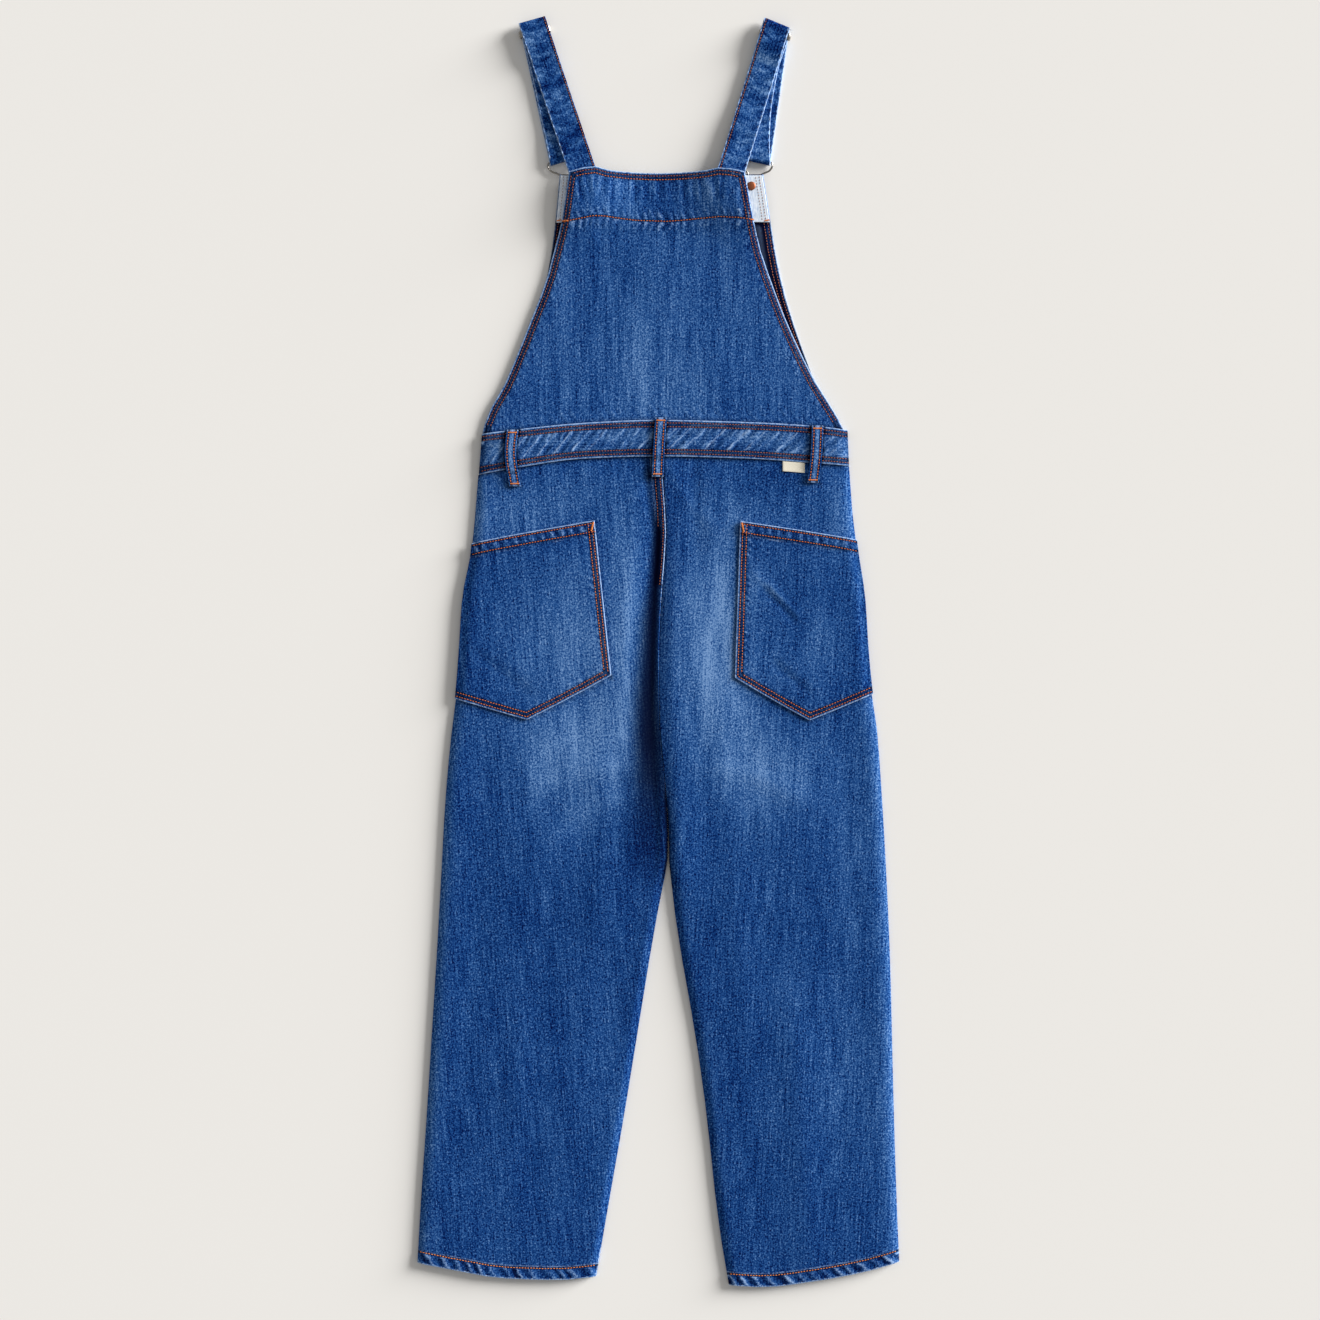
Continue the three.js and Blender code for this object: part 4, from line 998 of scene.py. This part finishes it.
def waistbandDress(look, x, y, away, along):
    addPleats(look, away["upper"], along["upper"], 120, (8, 33), 19, 0.4, slant=1.0, wash=0.22, worn=0.85,
              dark=0.3, sharp=0.075, broken=0.3, wander=0.05)
    for side, seed, pitch, slant in (("upper", 100, 9, 0.7), ("lower", 110, 10, 0.9)):
        addPleats(look, away[side], along[side], seed, (9, 17), pitch, 0.3, slant=slant, wash=0.3, worn=0.35,
                  dark=0.25)
    for which in ("left", "centre", "right"):
        loop = outlines[f"belt_loop_{which}"]
        # Painted shadow of each belt loop
        addContactShadow(look, x, y, [loop["left"], loop["right"], loop["top"]], 2.6, 0.8)
    look["wash"] += 0.16 * cloudy(x, y, 13, 130)
    # Painted shade at both ends of the band
    look["shade"] += 0.25 * (1 - ease(np.minimum(away["left"], away["right"]), 0, 6))


bandTop = laid(waistband, waistbandDress)
print("stage: bib and waistband made")


# Patch pockets, belt loops and the tab

pocketTopRows = (2.8, 12.1)
pocketTopLines = (0.8, 1.8, 2.8, 3.6, 5, 6.8, 8.6, 10.4, 11.4, 12.1, 12.9, 14, 15.5)
pockets = {
    "left": {
        "grain": 5, "wash": 0.33, "shift": 33, "seed": 200, "acrossLines": ((1.5, 3), nearRows),
        "tack": ((-72.0, 135.5), (0.25, 1)),
        "patches": ((-84, 12, 56, 88, 0, 0.22), (-128, 10, 46, 76, 0, 0.16), (-95, 85, 50, 26, 0, 0.06)),
        "creases": ((-190, -10, -150, -40, 7, -0.4, 0, 0.12, 0),),
    },
    "right": {
        "grain": -3, "wash": 0.36, "shift": 77, "seed": 230, "acrossLines": (nearRows, (1.5, 3)),
        "tack": ((93.0, 134.5), (-0.2, 1)),
        "patches": (
            (98, 50, 18, 60, 0, 0.13), (182, 15, 22, 40, 0, 0.15), (125, -22, 34, 26, 0, 0.14),
            (160, 95, 60, 30, 0, 0.06),
        ),
        "creases": (
            (112, 78, 130, 60, 5, 0.4, 0.16, 0, 0), (120, 64, 146, 36, 4, -0.7, 0, 0.2, 0),
            (126, 68, 152, 40, 3, 0.3, 0.1, 0, 0), (132, -18, 158, -40, 5, -0.5, 0, 0.17, 0),
            (104, 92, 101, -18, 1.3, 0.2, 0.12, 0, 0), (109, 92, 106, -18, 1.1, 0.15, 0.09, 0, 0),
        ),
    },
}


def pocketDress(seed):
    def dress(look, x, y, away, along):
        top = away["top"]
        addPleats(look, top, along["top"], seed, (3.4, 11.6), 10.6, 0.4, slant=-0.3, wash=0.34, worn=0.5,
                  dark=0.6, sharp=0.17)
        for side, step in (("inner", 3), ("bottom", 6)):
            addPleats(look, away[side], along[side], seed + step, (7.8, 14), 8, 0.25, slant=0.6, wash=0.36,
                      worn=0.3, sharp=0.2)
            addPleats(look, away[side], along[side], seed + step + 20, (0, 7), 6, 0.1, slant=0.6, wash=0.14,
                      worn=0.15)
        look["rise"] += ease(away["bottom"], 3, 20) * 0.4 * cloudy(x, y, 42, seed + 9)
        # The turned top is thicker, and has a painted line of shade along it with a pale lip below it
        look["rise"] += 0.45 * ease(13.2 - top, -0.5, 0.7)
        look["shade"] += 0.4 * bell(top, 13.9, 0.9)
        look["worn"] += 0.6 * bell(top, 15.3, 0.9) * (0.5 + 0.5 * waver(along["top"], 7, seed))

    return dress


pocketTops = {}
for which, settings in pockets.items():
    pocketTops[which] = laid({
        "name": f"pocket{which.capitalize()}", "node": f"pocket_{which}", "thickness": 1.5,
        "step": (2.2, 2.2), "restsOn": [f"back_leg_{which}"], "soften": 3, "worn": ["top", "inner", "bottom"],
        "rows": {"top": pocketTopRows, "inner": doubleRows, "bottom": doubleRows},
        "alongLines": (pocketTopLines, nearRows), **settings,
    }, pocketDress(settings["seed"]))

loopRow = 2.5
loopShifts = {"left": 11, "centre": 23, "right": 47}


def loopDress(look, x, y, away, along):
    # Rubbed down the middle, where it stands highest
    for side, seed in (("left", 300), ("right", 310)):
        addPleats(look, away[side], along[side], seed, (0, 6), 7, 0.1, wash=0.14, worn=0.1, dark=0.15)
    look["wash"] += 0.34 * bell(away["left"], 6.3, 2.6)
    look["worn"] += 0.12 * bell(away["left"], 6.3, 2.2)


loopTops = {}
for which, shift in loopShifts.items():
    loopTops[which] = laid({
        "name": f"beltLoop{which.capitalize()}", "node": f"belt_loop_{which}", "thickness": 1.9,
        "step": (0.9, 0.9), "restsOn": ["waistband_back"], "wash": 0.45, "shift": shift,
        "worn": ["top", "bottom"], "rows": {"left": (loopRow, noRow), "right": (loopRow, noRow)},
    }, loopDress)

laid({
    "name": "wovenTab", "node": "label_tab", "thickness": 0.9, "step": (2, 2), "restsOn": ["back_leg_right"],
    "material": "tape", "slot": "label", "rounding": 0.25,
})
print("stage: pockets, loops and tab made")


# Straps: each one is read from its node, section by section, and swept again finer

strap = {
    "width": 30.0, "thickness": 2.2, "step": 1.7, "wash": 0.44,
    "row": {"left": 1.8, "right": 2.8}, "seed": {"left": 400, "right": 440},
}
# Where the vertices lie across a strap, from edge to edge
strapShares = np.array([
    -1, -0.96, -0.9, -0.84, -0.8, -0.76, -0.68, -0.58, -0.46, -0.34, -0.22, -0.1, 0.02, 0.14, 0.26, 0.38,
    0.5, 0.6, 0.7, 0.77, 0.8, 0.84, 0.9, 0.96, 1,
])


def ribbonStations(node, width, thickness):
    # Middle and across vector of each section, in order from the sewn end
    bm = mergedNode(node)
    bm.verts.index_update()
    group = {v: {v} for v in bm.verts}
    for edge in bm.edges:
        length = edge.calc_length() / mm
        if abs(length - width) < 0.003 or abs(length - thickness) < 0.003:
            a, b = (group[v] for v in edge.verts)
            if a is not b:
                a |= b
                for v in b:
                    group[v] = a
    unlike = {id(members): members for members in group.values()}
    sections = [sorted(members, key=lambda v: v.index) for members in unlike.values()]
    owner = {v: i for i, members in enumerate(sections) for v in members}
    links = {i: set() for i in range(len(sections))}
    for edge in bm.edges:
        a, b = (owner[v] for v in edge.verts)
        if a != b:
            links[a].add(b)
            links[b].add(a)
    middles = [sum((v.co for v in members), Vector()) / len(members) for members in sections]
    order = [max((i for i, near in links.items() if len(near) == 1), key=lambda i: middles[i].z)]
    while True:
        following = [i for i in links[order[-1]] if i not in order]
        if not following:
            break
        order.append(following[0])
    stations = []
    for i in order:
        first = sections[i][0]
        partner = min(sections[i][1:], key=lambda v: abs((v.co - first.co).length - width * mm))
        across = np.array((partner.co - first.co).normalized())
        if stations and across @ stations[-1][3:] < 0:
            across = -across
        stations.append(np.concatenate([np.array(middles[i]) / mm, across]))
    bm.free()
    return np.array(stations)


def smoothPath(points, step):
    # Catmull-Rom curve through the stations, resampled evenly
    padded = np.concatenate([[2 * points[0] - points[1]], points, [2 * points[-1] - points[-2]]])
    fine = []
    for p0, p1, p2, p3 in zip(padded, padded[1:], padded[2:], padded[3:]):
        for t in np.linspace(0, 1, 8, endpoint=False):
            fine.append(
                0.5 * (2 * p1 + (p2 - p0) * t + (2 * p0 - 5 * p1 + 4 * p2 - p3) * t**2
                       + (3 * p1 - p0 - 3 * p2 + p3) * t**3)
            )
    fine = np.array([*fine, points[-1]])
    along = lineLengths(fine[:, :3])
    places = np.linspace(0, along[-1], int(along[-1] / step) + 1)
    return np.stack([np.interp(places, along, fine[:, k]) for k in range(fine.shape[1])], axis=-1), places


def strapLooks(s, o, seed):
    look = blankLook(s)
    for sign, extra in ((1, 0), (-1, 7)):
        addPleats(look, strap["width"] / 2 - sign * o, s, seed + extra, (1, 13), 9, 0.16, slant=0.5, wash=0.2,
                  worn=0.2, dark=0.3)
    look["wash"] += 0.26 * cloudy(s, (o + 100) * 0.4, 5, seed + 3)
    look["wash"] += 0.2 * cloudy(s, (o + 100) * 0.6, 15, seed + 4)
    return look


def makeStrap(which):
    half, thickness = strap["width"] / 2, strap["thickness"]
    row, seed = strap["row"][which], strap["seed"][which]
    path, along = smoothPath(ribbonStations(f"strap_{which}", strap["width"], thickness), strap["step"])
    centre, across = path[:, :3], path[:, 3:]
    across /= np.linalg.norm(across, axis=1)[:, None]
    if (across[0, 0] > 0) == (which == "right"):
        across = -across
    out = np.cross(np.gradient(centre, axis=0), across)
    out /= np.linalg.norm(out, axis=1)[:, None]
    if out[0, 2] < 0:
        out = -out
    offset = strapShares * half
    s, o = np.meshgrid(along, offset, indexing="ij")
    lift = thickness / 2 + strapLooks(s, o, seed)["rise"]
    grid = centre[:, None] + across[:, None] * offset[None, :, None] + out[:, None] * lift[..., None]
    bm = gridMesh(grid, np.stack([s, o], axis=-1))
    thicken(bm, thickness, 0.6)
    bmesh.ops.remove_doubles(bm, verts=bm.verts, dist=0.001 * mm)
    piece = addObject(f"strap{which.capitalize()}", bm, ["denim"])
    places = np.zeros(len(piece.data.vertices) * 3)
    piece.data.attributes["place"].data.foreach_get("vector", places)
    piece.data.attributes.remove(piece.data.attributes["place"])
    s, o, _ = places.reshape(-1, 3).T
    look = strapLooks(s, o, seed)
    del look["rise"]
    look["wash"] += strap["wash"]
    look["edge"] = half - np.abs(o)
    if which == "left":
        look["edge"] = np.where(o > 0, unworn, look["edge"])  # the stitched edge isn't rubbed
    look["rows"] = np.stack([half - o - row, np.full(len(s), far), np.full(len(s), far)])
    paintAttributes(piece, look)
    grainMap(piece, o + seed, s)
    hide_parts(f"strap_{which}")

    # One row of stitches down the inner edge, seen on both faces
    sewing = Sewing(f"stitchingStrap{which.capitalize()}")
    pitch = stitch["length"] + stitch["gap"]
    for face in (1, -1):
        for k in range(int(along[-1] / pitch)):
            ends = []
            for place in (k * pitch + 0.5, k * pitch + 0.5 + stitch["length"]):
                at = np.array([np.interp(place, along, values) for values in (*centre.T, *across.T, *out.T)])
                middle, side, up = at[:3], at[3:6], at[6:]
                ends.append(middle + side * (half - row) + face * up * (thickness / 2 - 0.1))
            if min(end[2] for end in ends) < 0.5:
                continue  # the strap lies on the floor there
            sewing.dash(Vector(ends[0]) * mm, Vector(ends[1]) * mm, Vector(face * up), "brown", stitch)
    sewing.finish()


for which in bothSides:
    makeStrap(which)
print("stage: straps made")


# Metal: smooth copies stand for the nodes


def smoothMetal(node, name, which, key, levels, rounding=0.0):
    bm = mergedNode(f"{node}_{which}")
    if rounding:
        rounded(bm, 0.8, rounding)
    piece = addObject(f"{name}{which.capitalize()}", bm, [key])
    if levels:
        modifier = piece.modifiers.new("smooth", "SUBSURF")
        modifier.levels = modifier.render_levels = levels
    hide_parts(f"{node}_{which}")


for which in bothSides:
    smoothMetal("hook", "hook", which, "nickel", 2)
    smoothMetal("bib_rivet", "bibRivet", which, "copper", 0, 0.3)
    smoothMetal("bib_button", "bibButton", which, "nickel", 0, 0.2)
    smoothMetal("strap_slide", "strapSlide", which, "nickel", 0, 0.25)
print("stage: metal finished")


# Sewing

# Length and width of the bar tacks
tacks = {"pocket": (9.5, 2.4), "bib": (5.5, 2.0), "facing": (4.5, 2.0), "loop": (9.0, 1.9)}

for which in bothSides:
    edges = outlines[f"back_leg_{which}"]
    sewing = Sewing(f"stitchingLeg{which.capitalize()}", legTops[which])
    sewing.row(besideLine(edges["hem"], hemRows[0]), "orange")
    if which == "left":
        for inset, end in zip(seamRows, (150, 85)):
            sewing.row(besideLine(edges["inner"], inset, 6, end), "brown")
    sewing.finish()

for which in bothSides:
    edges = outlines[f"pocket_{which}"]
    sewing = Sewing(f"stitchingPocket{which.capitalize()}", pocketTops[which])
    for inset in pocketTopRows:
        sewing.row(clipped(besideLine(stretched(edges["top"]), inset), {"inner": 2.5}, edges), "rust")
    for inset in doubleRows:
        sewing.row(clipped(besideLine(edges["inner"], inset), {"top": 2, "bottom": inset}, edges), "rust")
        sewing.row(clipped(besideLine(edges["bottom"], inset), {"inner": inset}, edges), "rust")
    sewing.bartack(*pockets[which]["tack"], *tacks["pocket"])
    sewing.finish()

sewing = Sewing("stitchingBib", bibTop)
edges = outlines["back_bib"]
for inset, thread in zip(bibRows, ("brown", "rust")):
    sewing.row(clipped(besideLine(edges["top"], inset), {"left": inset, "right": inset}, edges), thread)
    for side in bothSides:
        sewing.row(clipped(besideLine(edges[side], inset), {"top": inset, "lower": 8}, edges), "brown")
sewing.row(clipped(pointsOn(facingLine, np.linspace(0, 1, 90)), {"left": 2, "right": 2}, edges), "rust")
for centre in ((-102, 470.5), (104.5, 472)):
    sewing.bartack(centre, (1, 0.05), *tacks["bib"])
sewing.finish()

sewing = Sewing("stitchingFacing", facingTop)
for inset in facing["stitched"]:
    for side in bothSides:
        sewing.row(besideLine(outlines["front_bib_facing"][side], inset), "tan")
for centre in ((-108.5, 471.5), (119.5, 471.5)):
    sewing.bartack(centre, (1, 0.2), *tacks["facing"])
sewing.finish()

sewing = Sewing("stitchingFrontBib", frontBibTop)
edges = outlines["front_bib"]
for side in bothSides:
    for inset in frontBib["rows"][side]:
        sewing.row(clipped(besideLine(edges[side], inset), {"top": 52}, edges), "brown")
sewing.finish()

sewing = Sewing("stitchingWaistband", bandTop)
for side in ("upper", "lower"):
    for inset in bandRows:
        sewing.row(besideLine(outlines["waistband_back"][side], inset), "brown")
sewing.finish()

for which, surface in loopTops.items():
    edges = outlines[f"belt_loop_{which}"]
    sewing = Sewing(f"stitchingLoop{which.capitalize()}", surface)
    for side in bothSides:
        sewing.row(besideLine(edges[side], loopRow, 4, lineLengths(edges[side])[-1] - 4), "rust")
    for end in ("top", "bottom"):
        run = edges[end][-1] - edges[end][0]
        inward = np.array([run[1], -run[0]]) / np.hypot(*run)
        sewing.bartack(pointsOn(edges[end], [0.5])[0] + inward * 3.0, run, *tacks["loop"])
    sewing.finish()
print("stage: sewing done")


# Floor, lights and world

floorMesh = bmesh.new()
bmesh.ops.create_grid(floorMesh, x_segments=8, y_segments=8, size=studio["floorSize"] / 2)
bmesh.ops.translate(floorMesh, verts=floorMesh.verts, vec=(0, 0, -studio["floorDrop"]))
floorData = bpy.data.meshes.new("floor")
floorMesh.to_mesh(floorData)
floorMesh.free()
floorData.materials.append(floorMaterial())
floor = bpy.data.objects.new("floor", floorData)
bpy.context.scene.collection.objects.link(floor)

keyData = bpy.data.lights.new("keyLight", "SUN")
keyData.energy = studio["keyStrength"]
keyData.angle = math.radians(studio["keySpread"])
key = bpy.data.objects.new("keyLight", keyData)
key.location = studio["keyFrom"]
key.rotation_euler = (-Vector(studio["keyFrom"])).to_track_quat("-Z", "Y").to_euler()
bpy.context.scene.collection.objects.link(key)

world = bpy.data.worlds.new("studioWorld")
world.use_nodes = True
background = world.node_tree.nodes["Background"]
background.inputs["Color"].default_value = linear(studio["world"])
background.inputs["Strength"].default_value = studio["fill"]
bpy.context.scene.world = world
bpy.context.scene.view_settings.view_transform = "Standard"
print("stage: studio set")
